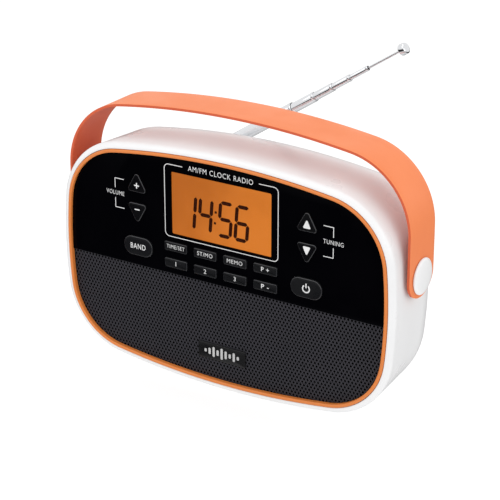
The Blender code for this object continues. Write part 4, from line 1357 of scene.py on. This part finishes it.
def makeHandle():
    low, high = nodeBox("handle_strap")
    capLow, capHigh = nodeBox("handle_cap_right")
    pivot = (capLow + capHigh) / 2
    halfBreadth = (high.y - low.y) / 2
    halfSpan = high.x
    rise = high.z - pivot.z
    half = strapPath(halfSpan, rise)
    ends = []
    for step in range(strap["endSteps"], 0, -1):
        angle = math.pi / 2 * step / (strap["endSteps"] + 0.35)
        drop, breadth = halfBreadth * math.sin(angle), halfBreadth * math.cos(angle)
        ends.append((halfSpan, -drop * strap["endDrop"], 1.0, 0.0, breadth))
    right = ends + [(*spot, halfBreadth) for spot in half]
    left = [(-x, z, -outX, outZ, breadth) for x, z, outX, outZ, breadth in reversed(right)]
    stations = right + [(0.0, rise, 0.0, 1.0, halfBreadth)] + left
    bpy.ops.object.select_all(action="DESELECT")
    bpy.ops.mesh.primitive_grid_add(x_subdivisions=len(stations) - 1, y_subdivisions=6, size=2.0)
    band = bpy.context.object
    band.name = "handleStrap"
    band.data.transform(Matrix.Diagonal(((len(stations) - 1) / 2, 1.0, 1.0, 1.0)))
    for corner in band.data.vertices:
        station = round(corner.co.x + (len(stations) - 1) / 2)
        x, z, outX, outZ, breadth = stations[station]
        corner.co = (x, pivot.y - corner.co.y * breadth, pivot.z + z)
    startEdit(band)
    bpy.ops.mesh.normals_make_consistent(inside=False)
    endEdit()
    outward = sum(p.normal.z * p.area for p in band.data.polygons)
    if outward < 0.0:
        bpy.ops.object.mode_set(mode="EDIT")
        bpy.ops.mesh.flip_normals()
        bpy.ops.object.mode_set(mode="OBJECT")
    solid = band.modifiers.new("thickness", "SOLIDIFY")
    solid.thickness = strap["thickness"]
    solid.offset = -1.0
    solid.use_even_offset = True
    applyAll(band)
    softenEdges(band, strap["edge"], 3, 60)
    profile = [(strap["bore"], -2 * halfSpan), (strap["bore"], 2 * halfSpan)]
    bore = turnedPiece("bore", profile, (0.0, pivot.y, pivot.z), (1, 0, 0))
    combine(band, [bore])
    smooth(band, 40)
    finishPiece(band, "strap", "handle", "strap_orange", "handle_strap")
    band.visible_glossy = False
    # The edge faces and the side facing the hub take the deeper orange: painted shade.
    band.data.materials.append(finishes["strapEdgeShade"].material)
    hub = Vector((0.0, pivot.y, pivot.z + rise / 4))
    for polygon in band.data.polygons:
        toHub = hub - polygon.center
        toHub.y = 0.0
        if abs(polygon.normal.y) > 0.6 or polygon.normal.dot(toHub) > 0.0:
            polygon.material_index = 1
    for side, name in ((-1, "left"), (1, "right")):
        makeCap(side, name)


def makeCap(side, name):
    low, high = nodeBox(f"handle_cap_{name}")
    middle = (low + high) / 2
    radius = (high.z - low.z) / 2
    height = high.x - low.x
    base = low.x if side > 0 else high.x
    profile = [(radius - 0.25 * mm, 0.0), (radius, 0.2 * mm), (radius, 0.75 * mm)]
    edge = 1.1 * mm
    for step in range(1, 6):
        angle = math.pi / 2 * step / 6
        spread = radius - 0.5 * mm * (1 - math.cos(angle))
        profile.append((spread, 0.75 * mm + (edge - 0.75 * mm) * math.sin(angle)))
    for step in range(1, 15):
        part = step / 15
        spread = (radius - 0.6 * mm) * math.cos(math.pi / 2 * part)
        profile.append((spread, edge + (height - edge) * math.sin(math.pi / 2 * part) ** 0.9))
    profile.append((0.15 * mm, height))
    cap = turnedPiece(f"handleCap_{name}", profile, (base, middle.y, middle.z), (side, 0, 0), 72, 40)
    finishPiece(cap, "casing", "handle", "casing_white", f"handle_cap_{name}")


# ---------- antenna ----------

antenna = {
    "angle": math.radians(33.4),
    "radii": (3.8 * mm, 3.1 * mm, 2.6 * mm, 2.1 * mm, 1.6 * mm),
    "wall": 0.3 * mm,
    "crimp": 0.9 * mm,
    "floor": 0.5 * mm,
    "tip": 3.4 * mm,
    "tipEnd": 2.97 * mm,
    "rod": 0.75 * mm,
    "head": 4.5 * mm,
    "groove": 0.12 * mm,
    "bodies": ("antenna_arm", *(f"antenna_section_{number}" for number in range(2, 6))),
}


def makeAntenna():
    along = Vector((math.cos(antenna["angle"]), 0.0, math.sin(antenna["angle"])))
    for number, (radius, body) in enumerate(zip(antenna["radii"], antenna["bodies"]), 1):
        low, high = nodeBox(f"antenna_tube_{number}")
        middle = (low + high) / 2
        length = ((high.x - low.x) - 2 * radius * abs(along.z)) / along.x
        low = middle - along * length / 2
        wall, crimp = antenna["wall"], antenna["crimp"]
        radius = radius - 0.02 * mm
        profile = [
            (radius - wall, 0.0),
            (radius - 0.05 * mm, 0.0),
            (radius, 0.1 * mm),
            (radius, length - 2.4 * crimp),
            (radius - antenna["groove"], length - 2.1 * crimp),
            (radius - antenna["groove"], length - 1.8 * crimp),
            (radius, length - 1.5 * crimp),
            (radius, length - 0.5 * crimp),
            (radius - 0.08 * mm, length - 0.2 * crimp),
            (radius - 0.2 * mm, length),
            (radius - wall - 0.02 * mm, length),
            (radius - wall - 0.02 * mm, antenna["floor"]),
        ]
        tube = turnedPiece(f"antennaTube{number}", profile, low, along, 40)
        finishPiece(tube, "chrome", body, "chrome", f"antenna_tube_{number}")
    low, high = nodeBox("antenna_rod")
    tip, tipEnd, rod = antenna["tip"], antenna["tipEnd"], antenna["rod"]
    end = Vector((high.x, (low.y + high.y) / 2, high.z)) - Vector((tipEnd * along.z, 0.0, tipEnd * along.x))
    length = (high.x - low.x - (tipEnd + rod) * along.z) / along.x
    start = end - along * length
    head = length - antenna["head"]
    profile = [(rod - 0.05 * mm, 0.0), (rod, 0.1 * mm), (rod, head)]
    profile += [(tip * 0.8, head), (tip * 0.94, head + 0.25 * mm)]
    profile += [(tip, head + 0.8 * mm), (tip, length - 0.9 * mm), (tip * 0.97, length - 0.5 * mm)]
    profile += [(tip * 0.86, length - 0.15 * mm), (tip * 0.7, length), (tip * 0.2, length)]
    lastSection = turnedPiece("antennaRod", profile, start, along, 40)
    finishPiece(lastSection, "chrome", "antenna_tip", "chrome", "antenna_rod")


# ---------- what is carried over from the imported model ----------

carried = {
    "battery_door": "casing",
    "battery_tray": "casing",
    "battery_contact_upper": "spring",
    "battery_contact_lower": "spring",
    "mains_inlet": "inlet",
    "handle_washer_left": "nylon",
    "handle_washer_right": "nylon",
    "handle_bush_left": "nylon",
    "handle_bush_right": "nylon",
    "antenna_turret": "chrome",
    "antenna_knuckle": "chrome",
    "antenna_pin": "chrome",
    "keypad_mat": "rubber",
    "main_board": "board",
    "ferrite_rod": "ferrite",
    "mains_transformer": "steel",
    "speaker_basket": "steel",
    "speaker_magnet": "ferrite",
    "speaker_cone": "paper",
    "speaker_dust_cap": "paper",
    "lcd_backlight": "backlight",
}


def dressCarried():
    for name, finish in carried.items():
        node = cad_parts[name]
        for slot in node.material_slots:
            slot.material = finishes[finish].material


# ---------- making it all ----------

makeStudio()
print("studio: camera, lamps and floor")
makeFinishes()
print("finishes:", len(finishes))
makeFrontShell()
makeRearShell()
makeFeet()
makeScrews()
makeDoorGrip()
print("casing: two shells, feet and screws")
makeTrimRing()
makePanel()
makePrinting()
makeDisplay()
makeDigits()
print("face: ring, panel, printing and display")
makeGrille()
makeBadge()
print("grille and badge")
makeButtons()
print("buttons:", len(buttonNames))
makeHandle()
print("handle: strap and caps")
makeAntenna()
print("antenna: tubes, rod and tip")
dressCarried()
print("carried over:", len(carried))
